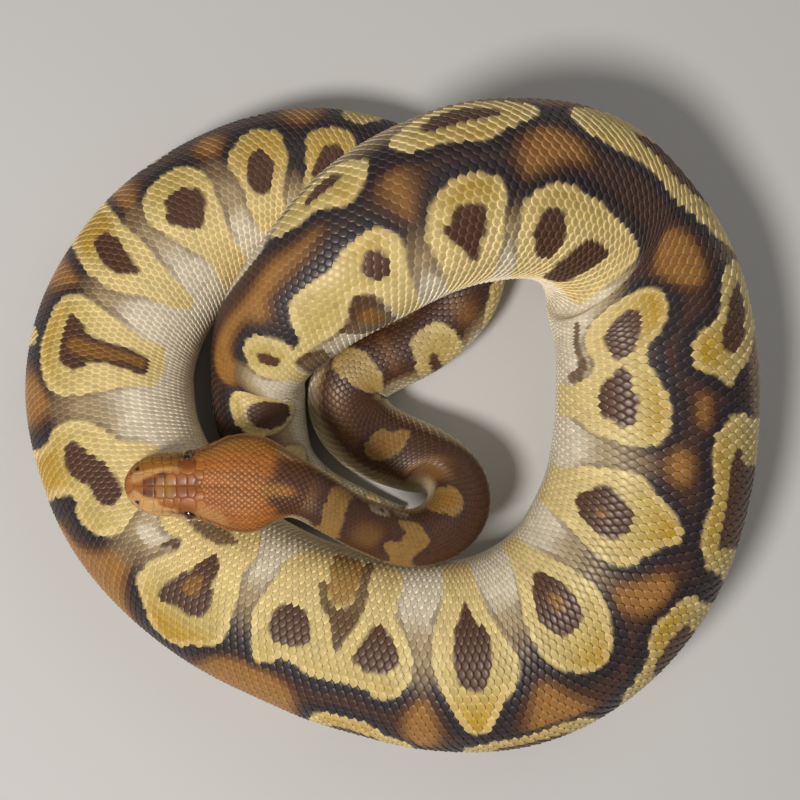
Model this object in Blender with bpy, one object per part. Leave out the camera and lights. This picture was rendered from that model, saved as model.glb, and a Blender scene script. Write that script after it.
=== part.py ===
"""A coiled ball python at life size, as a still model.

One line runs along the belly from the snout to the tail's tip. The body is lofted along that line, and parted by
thin cuts into head, neck, trunk lengths and tail. The lower jaw and the eyes are pieces of their own.
Blender 4.5, metres, +Z up. The snake lies on Z = 0, and the origin is under the middle of the coil.
"""

import math

import bmesh
import bpy
import numpy as np

MM = 0.001
GAP = 0.35 * MM  # between pieces that meet

# ---- The pose: a line under the body, in mm: (x, y, height of the belly, full width) ----
HEAD_LINE = (
    (-91.6, -28.0, 53.6, 0.0),
    (-85.1, -28.0, 51.9, 18.5),
    (-71.5, -27.8, 50.9, 20.5),
    (-58.0, -27.5, 50.7, 30.0),
    (-45.5, -27.4, 51.6, 31.5),
)
NECK_LINE = (
    (-34.5, -29.0, 52.0, 18.5),
    (-22.0, -36.3, 46.3, 16.8),
    (-10.0, -43.0, 36.5, 18.6),
    (1.0, -46.6, 30.0, 20.5),
)
FRONT_LINE = (
    (10.5, -45.4, 24.0, 23.0),
    (17.0, -40.2, 18.0, 24.5),
    (18.3, -32.5, 11.5, 25.0),
    (13.0, -25.2, 5.5, 26.0),
    (2.0, -19.3, 1.0, 27.0),
    (-9.0, -14.2, 0.0, 28.0),
    (-16.0, -7.8, 0.0, 29.0),
    (-18.8, 0.4, 0.0, 29.5),
    (-16.4, 8.6, 0.0, 29.0),
    (-9.0, 14.6, 0.0, 28.0),
    (2.5, 20.0, 0.0, 27.0),
    (15.0, 28.8, 0.0, 27.0),
    (23.0, 41.0, 0.0, 27.5),
    (23.5, 54.0, 0.0, 29.5),
    (16.5, 66.5, 0.0, 33.0),
    (4.0, 75.5, 0.0, 37.5),
)
COIL_LINE = (
    (-12.0, 80.2, 0.0, 42.0),
    (-31.0, 80.5, 0.0, 46.5),
    (-64.5, 67.0, 0.0, 52.5),
    (-88.5, 43.5, 0.0, 56.5),
    (-101.0, 15.0, 0.0, 58.0),
    (-99.5, -13.0, 0.0, 58.5),
    (-87.0, -40.0, 0.0, 59.0),
    (-64.0, -62.5, 0.0, 59.5),
    (-31.0, -79.5, 0.0, 60.0),
    (1.0, -88.0, 0.0, 63.5),
    (39.0, -86.0, 0.0, 69.0),
    (67.5, -67.0, 0.0, 70.5),
    (83.5, -38.5, 0.0, 70.5),
    (89.5, 0.0, 0.0, 70.0),
    (85.0, 35.0, 0.0, 69.0),
    (65.0, 62.0, 7.0, 65.5),
    (35.0, 69.5, 27.0, 60.5),
    (-1.5, 57.5, 39.5, 58.0),
    (-29.5, 37.3, 28.5, 43.0),
    (-42.0, 25.3, 13.0, 37.2),
    (-48.9, 13.0, 2.0, 34.8),
    (-50.5, 0.0, 0.0, 34.0),
)
TAIL_LINE = (
    (-47.8, -14.0, 0.0, 31.0),
    (-41.0, -26.0, 0.0, 26.0),
    (-31.0, -33.2, 0.0, 20.5),
    (-19.5, -37.0, 0.0, 14.5),
    (-8.0, -39.8, 0.0, 9.0),
    (2.0, -42.2, 0.0, 4.0),
)
COIL_MIDDLE = (-3.24, -9.31, 0, 0)  # the middle of the coil's plan, where the origin is
BODY_LINE = (np.array(HEAD_LINE + NECK_LINE + FRONT_LINE + COIL_LINE + TAIL_LINE) - COIL_MIDDLE) * MM
LINE_STEP = 0.5 * MM  # spacing of the finely sampled line
NEAR_WIDTH_BLEND, NEAR_LIFT_BLEND = 5 * MM, 11 * MM  # how far each is evened out along the head and neck
FAR_BLEND = 27 * MM  # how far both are evened out along the thick body
BLEND_FROM, BLEND_TO = 100 * MM, 170 * MM  # from the snout: where the one gives way to the other

# ---- The cross-section ----
HEIGHT_SHARE = 0.86  # the body's height over its width: it sags a little under its own weight
FLAT_BELLY = 1.1  # over 1 cuts the underside off flat where it lies
HEAD_SIDES = 26
TIGHTEST = 0.88  # the most of a bend's radius that the body's inner half may fill

# ---- The head, in mm: (distance from the snout, width, crown over the mouth line, jaw under it) ----
HEAD_SECTIONS = (
    (0.0, 3.4, 2.2, 1.0),
    (0.6, 6.4, 3.8, 1.9),
    (2.2, 11.0, 5.4, 3.0),
    (3.9, 14.6, 6.2, 3.6),
    (6.5, 17.8, 7.1, 4.2),
    (10.4, 20.0, 8.0, 4.7),
    (15.5, 20.8, 8.9, 5.2),
    (20.0, 20.9, 9.6, 5.6),
    (24.0, 22.4, 10.1, 5.9),
    (30.0, 26.6, 10.6, 6.4),
    (36.0, 31.4, 10.9, 7.0),
    (41.0, 33.0, 10.8, 7.3),
    (46.0, 31.9, 10.4, 7.4),
    (49.5, 28.6, 9.9, 7.4),
    (53.0, 23.4, 9.2, 7.4),
    (58.0, 18.4, 8.1, 7.7),
)
HEAD_LENGTH = 57 * MM
MOUTH_CORNER = 38 * MM  # from the snout
BOXINESS = ((0, 0.72), (20, 0.76), (38, 0.86), (70, 0.94))  # (mm from the snout, exponent): 1 is an ellipse
JAW_GAP = 0.4 * MM

EYE_FROM_SNOUT = 22.6 * MM
EYE_RADIUS = 2.5 * MM
EYE_UP = 4.6 * MM  # over the mouth line
EYE_SHOWS = 1.1 * MM  # how far the ball stands out of the head's side

# ---- Where the body is parted: (node, where it ends and the spacing of its rings in mm, sides of a ring) ----
LENGTHS = (
    ("neck", 94, 4.7, 18),
    ("trunk_01", 122, 4.0, 18),
    ("trunk_02", 150, 4.0, 18),
    ("trunk_03", 179, 4.2, 18),
    ("trunk_04", 206, 3.9, 18),
    ("trunk_05", 246, 5.8, 18),
    ("trunk_06", 290, 6.3, 20),
    ("trunk_07", 342, 7.5, 22),
    ("trunk_08", 400, 8.4, 22),
    ("trunk_09", 455, 8.0, 22),
    ("trunk_10", 513, 8.4, 22),
    ("trunk_11", 575, 9.0, 22),
    ("trunk_12", 630, 8.0, 22),
    ("trunk_13", 682, 8.8, 22),
    ("trunk_14", 745, 9.2, 22),
    ("trunk_15", 800, 8.0, 22),
    ("trunk_16", 845, 7.5, 22),
    ("trunk_17", 890, 7.5, 22),
    ("trunk_18", 936, 6.6, 22),
    ("trunk_19", 980, 6.4, 20),
    ("tail", 2000, 6.6, 18),
)

COLOURS = {  # base colour, roughness
    "crown": ((0.36, 0.16, 0.06), 0.5),
    "jaw": ((0.55, 0.42, 0.26), 0.5),
    "eye": ((0.015, 0.012, 0.012), 0.12),
    "neck": ((0.30, 0.17, 0.09), 0.45),
    "trunk": ((0.50, 0.38, 0.18), 0.42),
    "tail": ((0.34, 0.24, 0.12), 0.45),
}


# ---- The line ----


def natural_spline(knots, values, at):
    """The cubic spline through values at knots, with no bend at its ends."""
    steps = np.diff(knots)
    slopes = np.diff(values, axis=0) / steps[:, None]
    system = np.eye(len(knots))
    right = np.zeros_like(values)
    for i in range(1, len(knots) - 1):
        system[i, i - 1 : i + 2] = steps[i - 1], 2 * (steps[i - 1] + steps[i]), steps[i]
        right[i] = 6 * (slopes[i] - slopes[i - 1])
    bend = np.linalg.solve(system, right)
    k = np.clip(np.searchsorted(knots, at) - 1, 0, len(knots) - 2)
    step = steps[k][:, None]
    before = (at - knots[k])[:, None]
    after = (knots[k + 1] - at)[:, None]
    curved = (bend[k] * after**3 + bend[k + 1] * before**3) / (6 * step)
    low = (values[k] / step - bend[k] * step / 6) * after
    high = (values[k + 1] / step - bend[k + 1] * step / 6) * before
    return curved + low + high


def evened(values, reach):
    """values averaged over a bell-shaped window of this many samples to each side."""
    window = np.hanning(2 * reach + 3)[1:-1]
    padded = np.pad(values, reach, mode="edge")
    return np.convolve(padded, window / window.sum(), mode="valid")


def smoothed(along, values, near_blend):
    """values evened out a little along the head and neck, and more along the thick body."""
    step = along[1] - along[0]
    near = evened(values, int(near_blend / step))
    far = evened(values, int(FAR_BLEND / step))
    share = np.clip((along - BLEND_FROM) / (BLEND_TO - BLEND_FROM), 0, 1)
    return near * (1 - share) + far * share


def distances(points):
    return np.concatenate([[0], np.cumsum(np.linalg.norm(np.diff(points, axis=0), axis=1))])


def unit(vectors):
    return vectors / np.linalg.norm(vectors, axis=-1, keepdims=True)


class BodyLine:
    """The belly's line sampled every LINE_STEP from the snout, with its frame and the section's sizes."""

    def __init__(self):
        knots = distances(BODY_LINE[:, :3])
        fine = np.linspace(0, knots[-1], int(knots[-1] / LINE_STEP) * 2)
        plan = natural_spline(knots, BODY_LINE[:, :2], fine)
        lift = smoothed(fine, np.interp(fine, knots, BODY_LINE[:, 2]), NEAR_LIFT_BLEND)
        width = smoothed(fine, np.interp(fine, knots, BODY_LINE[:, 3]), NEAR_WIDTH_BLEND)
        belly = np.column_stack([plan, lift])
        along = distances(belly)
        self.at = np.arange(0, along[-1], LINE_STEP)
        self.belly = np.column_stack([np.interp(self.at, along, belly[:, i]) for i in range(3)])
        self.length = self.at[-1]
        self.ahead = unit(np.gradient(self.belly, self.at, axis=0))
        self.side = unit(np.cross(self.ahead, (0, 0, 1)))  # to the right of the way the line runs
        self.up = np.cross(self.side, self.ahead)
        turn = np.einsum("ij,ij->i", np.gradient(self.ahead, self.at, axis=0), self.side)
        self.set_sizes(np.interp(self.at, along, width), evened(turn, 6))

    def set_sizes(self, width, turn):
        """Half-widths to each side, and the section's reach over and under its widest level."""
        head = np.array(HEAD_SECTIONS) * MM
        at = self.at
        blend = np.clip((at - HEAD_LENGTH) / (10 * MM), 0, 1)
        half = np.where(at < HEAD_LENGTH, np.interp(at, head[:, 0], head[:, 1]), width) / 2
        body_half_height = HEIGHT_SHARE * half
        top = np.interp(at, head[:, 0], head[:, 2])
        bottom = np.interp(at, head[:, 0], head[:, 3])
        self.top = (1 - blend) * top + blend * body_half_height
        self.bottom = (1 - blend) * bottom + blend * body_half_height
        boxiness = np.array(BOXINESS)
        self.boxiness = np.interp(at / MM, boxiness[:, 0], boxiness[:, 1])
        radius = 1 / np.maximum(np.abs(turn), 1e-3)
        inner = np.minimum(half, TIGHTEST * radius)
        self.right = evened(np.where(turn > 0, inner, half), 6)
        self.left = evened(np.where(turn < 0, inner, half), 6)
        blunt = at < 6 * MM  # the snout is too short for the evening above
        self.right[blunt] = self.left[blunt] = half[blunt]

    def sample(self, name, at):
        values = getattr(self, name)
        if values.ndim == 1:
            return float(np.interp(at, self.at, values))
        return np.array([np.interp(at, self.at, values[:, i]) for i in range(3)])

    def middle(self, at):
        """The point at the section's widest level."""
        return self.sample("belly", at) + self.sample("bottom", at) * self.sample("up", at)

    def ring(self, at, sides):
        """The section's points, from the right side over the top. The underside is cut off flat."""
        angle = (np.arange(sides) + 0.5) * 2 * math.pi / sides
        cos, sin = np.cos(angle), np.sin(angle)
        boxiness = self.sample("boxiness", at)
        reach = np.where(cos > 0, self.sample("right", at), self.sample("left", at))
        across = reach * np.sign(cos) * np.abs(cos) ** boxiness
        over = self.sample("top", at) * np.abs(sin) ** boxiness
        under = self.sample("bottom", at) * np.minimum(1, FLAT_BELLY * np.abs(sin) ** (0.85 * boxiness))
        height = np.where(sin > 0, over, -under)
        side, up = self.sample("side", at), self.sample("up", at)
        return self.middle(at) + across[:, None] * side + height[:, None] * up


# ---- Making objects ----


def clear_scene():
    for thing in list(bpy.data.objects):
        bpy.data.objects.remove(thing, do_unlink=True)


def material(name):
    colour, roughness = COLOURS[name]
    made = bpy.data.materials.get(name) or bpy.data.materials.new(name)
    made.use_nodes = True
    shader = made.node_tree.nodes["Principled BSDF"]
    shader.inputs["Base Color"].default_value = (*colour, 1)
    shader.inputs["Roughness"].default_value = roughness
    shader.inputs["Metallic"].default_value = 0.0
    return made


def add_object(name, bm, colour):
    mesh = bpy.data.meshes.new(name)
    bmesh.ops.recalc_face_normals(bm, faces=bm.faces)
    bm.to_mesh(mesh)
    bm.free()
    mesh.materials.append(material(colour))
    mesh.shade_smooth()
    mesh.set_sharp_from_angle(angle=math.radians(45))
    made = bpy.data.objects.new(name, mesh)
    bpy.context.scene.collection.objects.link(made)
    return made


def loft(rings):
    """A closed tube through rings of points, with flat ends."""
    bm = bmesh.new()
    loops = [[bm.verts.new(point) for point in ring] for ring in rings]
    for before, after in zip(loops, loops[1:]):
        for i, corner in enumerate(before):
            j = (i + 1) % len(before)
            bm.faces.new((corner, before[j], after[j], after[i]))
    bm.faces.new(loops[0][::-1])
    bm.faces.new(loops[-1])
    return bm


def add_ball(name, centre, radius, colour, segments=16, rings=10):
    bm = bmesh.new()
    bmesh.ops.create_uvsphere(bm, u_segments=segments, v_segments=rings, radius=radius)
    ball = add_object(name, bm, colour)
    ball.location = centre
    return ball


def make_helper(thing):
    thing.hide_render = True
    thing.display_type = "WIRE"
    return thing


def cut(target, cutter, operation):
    modifier = target.modifiers.new(cutter.name, "BOOLEAN")
    modifier.object = cutter
    modifier.operation = operation


# ---- The snake's pieces ----


def head_rings(line):
    """Rings close together round the blunt snout, and wider apart to the nape."""
    snout = [0.1, 0.45, 1.1, 2.2, 4.0]
    rest = list(np.linspace(7, HEAD_LENGTH / MM, 15))
    return [line.ring(at * MM, HEAD_SIDES) for at in snout + rest]


def jaw_block(name, line, clearance):
    """A block that holds all of the head under the mouth line, from before the snout to the mouth's corner."""
    front, back = line.middle(0), line.middle(MOUTH_CORNER)
    ahead, side = line.sample("ahead", MOUTH_CORNER / 2), line.sample("side", MOUTH_CORNER / 2)
    front = front - 5 * MM * ahead
    back = back + clearance * ahead
    half = 25 * MM * side
    bm = bmesh.new()
    corners = [front - half, front + half, back + half, back - half]
    top = [bm.verts.new(c + (0, 0, clearance)) for c in corners]
    floor = [bm.verts.new((c[0], c[1], 30 * MM)) for c in corners]
    bm.faces.new(top)
    bm.faces.new(floor[::-1])
    for i in range(4):
        j = (i + 1) % 4
        bm.faces.new((top[i], floor[i], floor[j], top[j]))
    return make_helper(add_object(name, bm, "jaw"))


def build_head(line):
    rings = head_rings(line)
    head = add_object("head", loft(rings), "crown")
    cut(head, jaw_block("jaw_space", line, JAW_GAP), "DIFFERENCE")
    jaw = add_object("lower_jaw", loft(rings), "jaw")
    cut(jaw, jaw_block("jaw_block", line, 0.0), "INTERSECT")
    side, up = line.sample("side", EYE_FROM_SNOUT), line.sample("up", EYE_FROM_SNOUT)
    for name, sign, reach in (("eye_left", 1, "right"), ("eye_right", -1, "left")):
        # The line runs from snout to tail, so its right is the snake's own left.
        widest = line.sample(reach, EYE_FROM_SNOUT)
        boxiness = line.sample("boxiness", EYE_FROM_SNOUT)
        share = (EYE_UP / line.sample("top", EYE_FROM_SNOUT)) ** (1 / boxiness)
        wall = widest * (1 - share**2) ** (boxiness / 2)
        out = wall + EYE_SHOWS - EYE_RADIUS
        centre = line.middle(EYE_FROM_SNOUT) + sign * out * side + EYE_UP * up
        add_ball(name, centre, EYE_RADIUS, "eye")
        socket = make_helper(add_ball(name + "_socket", centre, EYE_RADIUS + GAP, "eye"))
        cut(head, socket, "DIFFERENCE")


def build_length(name, line, start, end, spacing, sides):
    """One length of the body, between two planes square to the line."""
    count = max(2, round((end - start) / (spacing * MM)) + 1)
    rings = [line.ring(at, sides) for at in np.linspace(start, end, count)]
    add_object(name, loft(rings), name if name in COLOURS else "trunk")


def build():
    clear_scene()
    line = BodyLine()
    build_head(line)
    start = HEAD_LENGTH + GAP
    for name, end, spacing, sides in LENGTHS:
        end = min(end * MM, line.length)
        build_length(name, line, start, end, spacing, sides)
        start = end + GAP


build()
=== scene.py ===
"""The looks of the coiled ball python: one skin, the scales that lie over it, and the eyes.

The body is described by a distance from the snout and a place round the section. Every scale is laid out in
those coordinates, so rows, sizes and markings follow the body through its bends.
"""

import math

import bpy
import numpy as np
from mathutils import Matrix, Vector


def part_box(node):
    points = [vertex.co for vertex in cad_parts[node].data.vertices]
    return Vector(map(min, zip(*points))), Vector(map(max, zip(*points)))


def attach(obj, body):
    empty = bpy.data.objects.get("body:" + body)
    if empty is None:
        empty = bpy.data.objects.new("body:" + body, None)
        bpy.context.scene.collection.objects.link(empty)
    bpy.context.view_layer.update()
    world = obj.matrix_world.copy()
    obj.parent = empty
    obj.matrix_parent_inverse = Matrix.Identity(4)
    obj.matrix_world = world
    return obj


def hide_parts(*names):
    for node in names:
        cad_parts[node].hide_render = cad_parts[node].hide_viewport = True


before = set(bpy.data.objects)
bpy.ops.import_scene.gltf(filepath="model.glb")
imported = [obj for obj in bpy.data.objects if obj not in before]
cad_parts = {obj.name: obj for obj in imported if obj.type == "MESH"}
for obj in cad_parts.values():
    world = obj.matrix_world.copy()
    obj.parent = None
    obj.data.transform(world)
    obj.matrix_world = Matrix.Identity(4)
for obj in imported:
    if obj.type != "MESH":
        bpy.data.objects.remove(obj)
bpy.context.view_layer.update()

MM = 0.001
rng = np.random.default_rng(11)  # the only source of chance, drawn from in a fixed order

# ---- The pose, as in the solids, in mm: (x, y, height of the belly, full width) ----
BODY_LINE = np.array((
    (-91.6, -28.0, 53.6, 0.0), (-85.1, -28.0, 51.9, 18.5), (-71.5, -27.8, 50.9, 20.5),
    (-58.0, -27.5, 50.7, 30.0), (-45.5, -27.4, 51.6, 31.5), (-34.5, -29.0, 52.0, 18.5),
    (-22.0, -36.3, 46.3, 16.8), (-10.0, -43.0, 36.5, 18.6), (1.0, -46.6, 30.0, 20.5),
    (10.5, -45.4, 24.0, 23.0), (17.0, -40.2, 18.0, 24.5), (18.3, -32.5, 11.5, 25.0),
    (13.0, -25.2, 5.5, 26.0), (2.0, -19.3, 1.0, 27.0), (-9.0, -14.2, 0.0, 28.0), (-16.0, -7.8, 0.0, 29.0),
    (-18.8, 0.4, 0.0, 29.5), (-16.4, 8.6, 0.0, 29.0), (-9.0, 14.6, 0.0, 28.0), (2.5, 20.0, 0.0, 27.0),
    (15.0, 28.8, 0.0, 27.0), (23.0, 41.0, 0.0, 27.5), (23.5, 54.0, 0.0, 29.5), (16.5, 66.5, 0.0, 33.0),
    (4.0, 75.5, 0.0, 37.5), (-12.0, 80.2, 0.0, 42.0), (-31.0, 80.5, 0.0, 46.5), (-64.5, 67.0, 0.0, 52.5),
    (-88.5, 43.5, 0.0, 56.5), (-101.0, 15.0, 0.0, 58.0), (-99.5, -13.0, 0.0, 58.5),
    (-87.0, -40.0, 0.0, 59.0), (-64.0, -62.5, 0.0, 59.5), (-31.0, -79.5, 0.0, 60.0),
    (1.0, -88.0, 0.0, 63.5), (39.0, -86.0, 0.0, 69.0), (67.5, -67.0, 0.0, 70.5), (83.5, -38.5, 0.0, 70.5),
    (89.5, 0.0, 0.0, 70.0), (85.0, 35.0, 0.0, 69.0), (65.0, 62.0, 7.0, 65.5), (35.0, 69.5, 27.0, 60.5),
    (-1.5, 57.5, 39.5, 58.0), (-29.5, 37.3, 28.5, 43.0), (-42.0, 25.3, 13.0, 37.2),
    (-48.9, 13.0, 2.0, 34.8), (-50.5, 0.0, 0.0, 34.0), (-47.8, -14.0, 0.0, 31.0), (-41.0, -26.0, 0.0, 26.0),
    (-31.0, -33.2, 0.0, 20.5), (-19.5, -37.0, 0.0, 14.5), (-8.0, -39.8, 0.0, 9.0), (2.0, -42.2, 0.0, 4.0),
))
COIL_MIDDLE = (-3.24, -9.31)  # what the camera looks at, in the table's own coordinates
HEIGHT_SHARE = 0.86  # of the body's height to its width
FLAT_BELLY = 1.1  # over 1, the belly's middle is flat
TIGHTEST = 0.88  # how much of a bend's radius the inner side may take up
HEAD_LENGTH = 57.0
HEAD_SECTIONS = np.array((  # from the snout, width, crown over the mouth line, jaw under it
    (0.0, 3.4, 2.2, 1.0), (0.6, 6.4, 3.8, 1.9), (2.2, 11.0, 5.4, 3.0), (3.9, 14.6, 6.2, 3.6),
    (6.5, 17.8, 7.1, 4.2), (10.4, 20.0, 8.0, 4.7), (15.5, 20.8, 8.9, 5.2), (20.0, 20.9, 9.6, 5.6),
    (24.0, 22.4, 10.1, 5.9), (30.0, 26.6, 10.6, 6.4), (36.0, 31.4, 10.9, 7.0), (41.0, 33.0, 10.8, 7.3),
    (46.0, 31.9, 10.4, 7.4), (49.5, 28.6, 9.9, 7.4), (53.0, 23.4, 9.2, 7.4), (58.0, 18.4, 8.1, 7.7),
))
BOXINESS = np.array(((0, 0.72), (20, 0.76), (38, 0.86), (70, 0.94)))

# ---- How the body lies: the angle of the back's midline round the section, 90 is straight up ----
BACK_ANGLE = np.array((
    (0, 90), (100, 90), (130, 95), (160, 100), (200, 103), (240, 98), (313, 52), (344, 41), (373, 37),
    (400, 35), (470, 36), (517, 38), (550, 46), (582, 53), (627, 52), (652, 60), (694, 70), (738, 81),
    (770, 83), (815, 79), (890, 77), (930, 67), (975, 48), (1010, 50), (1060, 60),
))
SCUTE_HALF_ANGLE = 31  # the belly plates' reach to each side, in degrees round the section

COLOUR = {  # sRGB, 0 to 255
    "gold": (180, 144, 33), "yellow": (190, 168, 98), "straw": (218, 198, 140), "cream": (218, 203, 168),
    "dark": (43, 33, 38), "spot": (84, 53, 36), "rust": (154, 107, 47), "umber": (77, 42, 18),
    "taupe": (126, 103, 74), "stone": (164, 145, 110), "shell": (213, 204, 184),
    "crown": (160, 95, 31), "tan": (202, 157, 99), "chestnut": (112, 54, 9), "ochre": (131, 91, 31),
    "honey": (145, 99, 25),
}


def linear(name):
    """A named colour, in linear light."""
    c = np.array(COLOUR[name]) / 255
    return np.where(c <= 0.04045, c / 12.92, ((c + 0.055) / 1.055) ** 2.4)


# ---- The body line ----


def natural_spline(knots, values, at):
    """A smooth curve through the values at the knots."""
    steps = np.diff(knots)
    slopes = np.diff(values, axis=0) / steps[:, None]
    system = np.eye(len(knots))
    right = np.zeros_like(values)
    for i in range(1, len(knots) - 1):
        system[i, i - 1 : i + 2] = steps[i - 1], 2 * (steps[i - 1] + steps[i]), steps[i]
        right[i] = 6 * (slopes[i] - slopes[i - 1])
    bend = np.linalg.solve(system, right)
    k = np.clip(np.searchsorted(knots, at) - 1, 0, len(knots) - 2)
    step = steps[k][:, None]
    before = (at - knots[k])[:, None]
    after = (knots[k + 1] - at)[:, None]
    curved = (bend[k] * after**3 + bend[k + 1] * before**3) / (6 * step)
    low = (values[k] / step - bend[k] * step / 6) * after
    high = (values[k + 1] / step - bend[k + 1] * step / 6) * before
    return curved + low + high


def evened(values, reach):
    """A running mean, weighted toward the middle."""
    window = np.hanning(2 * reach + 3)[1:-1]
    return np.convolve(np.pad(values, reach, mode="edge"), window / window.sum(), mode="valid")


def smoothed(along, values, near_blend):
    """Evened over near_blend mm at the head and over 27 mm along the trunk."""
    step = along[1] - along[0]
    near = evened(values, int(near_blend / step))
    far = evened(values, int(27 / step))
    share = np.clip((along - 100) / 70, 0, 1)
    return near * (1 - share) + far * share


def distances(points):
    """How far along their line each point is."""
    return np.concatenate([[0], np.cumsum(np.linalg.norm(np.diff(points, axis=0), axis=1))])


def unit(v):
    """Vectors of length one."""
    return v / np.maximum(np.linalg.norm(v, axis=-1, keepdims=True), 1e-9)


def smooth_step(x, low, high):
    """0 under low, 1 over high and an easy rise between."""
    t = np.clip((x - low) / (high - low), 0, 1)
    return t * t * (3 - 2 * t)


def bell(x, middle, reach):
    """1 at the middle, dying away to both sides."""
    return np.exp(-(((x - middle) / reach) ** 2))


# ---- The surface: tables over (distance from the snout, place round the section), all in mm ----


def stations():
    """Fine steps over the head, wider ones behind it."""
    return np.concatenate([np.arange(0, 3, 0.1), np.arange(3, 62, 0.25), np.arange(62, 3000, 0.5)])


class Body:
    """The skin's surface. A place round the section is an angle, or an arc from the back's midline."""

    def __init__(self):
        line = BODY_LINE.copy()
        line[:, 0] -= COIL_MIDDLE[0]
        line[:, 1] -= COIL_MIDDLE[1]
        knots = distances(line[:, :3])
        fine = np.linspace(0, knots[-1], int(knots[-1] * 4))
        plan = natural_spline(knots, line[:, :2], fine)
        belly = np.column_stack([plan, smoothed(fine, np.interp(fine, knots, line[:, 2]), 11)])
        width = smoothed(fine, np.interp(fine, knots, line[:, 3]), 5)
        along = distances(belly)
        even = np.arange(0, along[-1], 0.5)
        centre = np.column_stack([np.interp(even, along, belly[:, i]) for i in range(3)])
        ahead = unit(np.gradient(centre, even, axis=0))
        side = unit(np.cross(ahead, (0, 0, 1)))
        turn = evened(np.einsum("ij,ij->i", np.gradient(ahead, even, axis=0), side), 6)
        s = stations()
        self.s = s[s <= even[-1]]
        self.length = self.s[-1]
        lay = lambda v: np.column_stack([np.interp(self.s, even, v[:, i]) for i in range(3)])
        self.belly, self.ahead = lay(centre), unit(lay(ahead))
        self.side = unit(np.cross(self.ahead, (0, 0, 1)))
        self.up = np.cross(self.side, self.ahead)
        self.width = np.interp(self.s, along, width)
        self.sections(np.interp(self.s, even, turn))
        self.back = np.interp(self.s, BACK_ANGLE[:, 0], BACK_ANGLE[:, 1])
        self.back = np.interp(self.s, even, evened(np.interp(even, self.s, self.back), 24))
        self.vent = 270 + np.clip(0.8 * (self.back - 90), -40, 12)
        self.angles = np.linspace(0, 360, 361)
        self.by_angle = self.ring_points()
        self.tabulate()

    def sections(self, turn):
        """The section's half widths, and its heights over and under its widest level."""
        s, head = self.s, HEAD_SECTIONS
        fine = np.arange(0, 80, 0.1)
        soft = lambda v: np.interp(s, fine, evened(np.interp(fine, head[:, 0], v), 9))
        share = np.clip((s - HEAD_LENGTH) / 10, 0, 1)
        blunt = smooth_step(s, 0.5, 3)
        column = lambda i: np.interp(s, head[:, 0], head[:, i]) * (1 - blunt) + soft(head[:, i]) * blunt
        half = np.where(s < HEAD_LENGTH, column(1), self.width) / 2
        self.top = (1 - share) * column(2) + share * HEIGHT_SHARE * half
        self.bottom = (1 - share) * column(3) + share * HEIGHT_SHARE * half
        self.boxy = np.interp(s, BOXINESS[:, 0], BOXINESS[:, 1])
        inner = np.minimum(half, TIGHTEST / np.maximum(np.abs(turn), 1e-3))
        keep = smooth_step(s, 3, 6)
        even = np.arange(0, self.length + 0.5, 0.5)
        eased = lambda v: half * (1 - keep) + keep * np.interp(s, even, evened(np.interp(even, s, v), 6))
        self.right = eased(np.where(turn > 0, inner, half))
        self.left = eased(np.where(turn < 0, inner, half))
        # The coat's thickness.
        self.depth = 0.18 + 0.42 * smooth_step(s, 20, 110) * np.clip(half / 26, 0.3, 1)

    def ring_points(self):
        """The skin's points, a ring of them at each station."""
        angle = np.radians(self.angles)[None, :]
        cos, sin = np.cos(angle), np.sin(angle)
        boxy = self.boxy[:, None]
        reach = np.where(cos > 0, self.right[:, None], self.left[:, None])
        across = reach * np.sign(cos) * np.abs(cos) ** boxy
        over = self.top[:, None] * np.abs(sin) ** boxy
        under = self.bottom[:, None] * np.minimum(1, FLAT_BELLY * np.abs(sin) ** (0.85 * boxy))
        rise = np.where(sin > 0, over, -under)
        middle = self.belly + self.bottom[:, None] * self.up
        points = middle[:, None] + across[..., None] * self.side[:, None] + rise[..., None] * self.up[:, None]
        lift = self.sculpt(points, across, rise) - self.depth[:, None]
        return points + lift[..., None] * self.normals(points)

    def normals(self, points):
        """The way out of the body at each point."""
        around = np.roll(points[:, :-1], -1, axis=1) - np.roll(points[:, :-1], 1, axis=1)
        around = np.concatenate([around, around[:, :1]], axis=1)
        forward = np.gradient(points, axis=0)
        return unit(np.cross(forward, around))

    def sculpt(self, points, across, rise):
        """How far the head's forms stand over the plain section: lips, brow, cheek and chin."""
        s = self.s[:, None]
        out = np.abs(across) / np.maximum(self.right[:, None], 0.1)
        shape = np.zeros(points.shape[:2])
        mouth = mouth_height(s)
        lip = smooth_step(s, 0.4, 1.2) * (1 - smooth_step(s, 37, 38.5)) * smooth_step(out, 0.5, 0.8)
        shape -= 0.75 * lip * bell(rise, mouth, 0.30)
        shape += 0.20 * lip * bell(rise, mouth + 1.5, 1.0) + 0.12 * lip * bell(rise, mouth - 1.4, 1.0)
        shape += 0.35 * bell(s, 22.5, 5.0) * bell(rise, 8.3, 1.1) * smooth_step(out, 0.35, 0.7)  # brow
        flank = smooth_step(out, 0.6, 0.9)
        shape -= 0.45 * bell(s, 14.0, 4.5) * bell(rise, 4.6, 1.4) * flank  # before the eye
        shape -= 0.25 * bell(s, 30.0, 5.0) * bell(rise, 5.0, 1.8) * flank  # behind it
        shape -= 0.30 * bell(s, 26.0, 12.0) * bell(across, 0, 1.6) * (rise > 0)  # along the crown
        shape += 0.22 * bell(s, 27.0, 11.0) * bell(np.abs(across), 4.2, 2.0) * (rise > 0)
        shape -= 0.45 * bell(s, 17.0, 10.0) * bell(across, 0, 0.8) * (rise < 0)  # under the chin
        angle = np.radians(self.angles)[None, :]
        wobble = np.sin(s / 7.3 + 1.3 * np.sin(s / 23)) * np.cos(angle * 2 + s / 31)
        shape += 0.22 * smooth_step(s, 120, 320) * wobble * (rise > -0.8 * self.bottom[:, None])
        return shape

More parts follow.
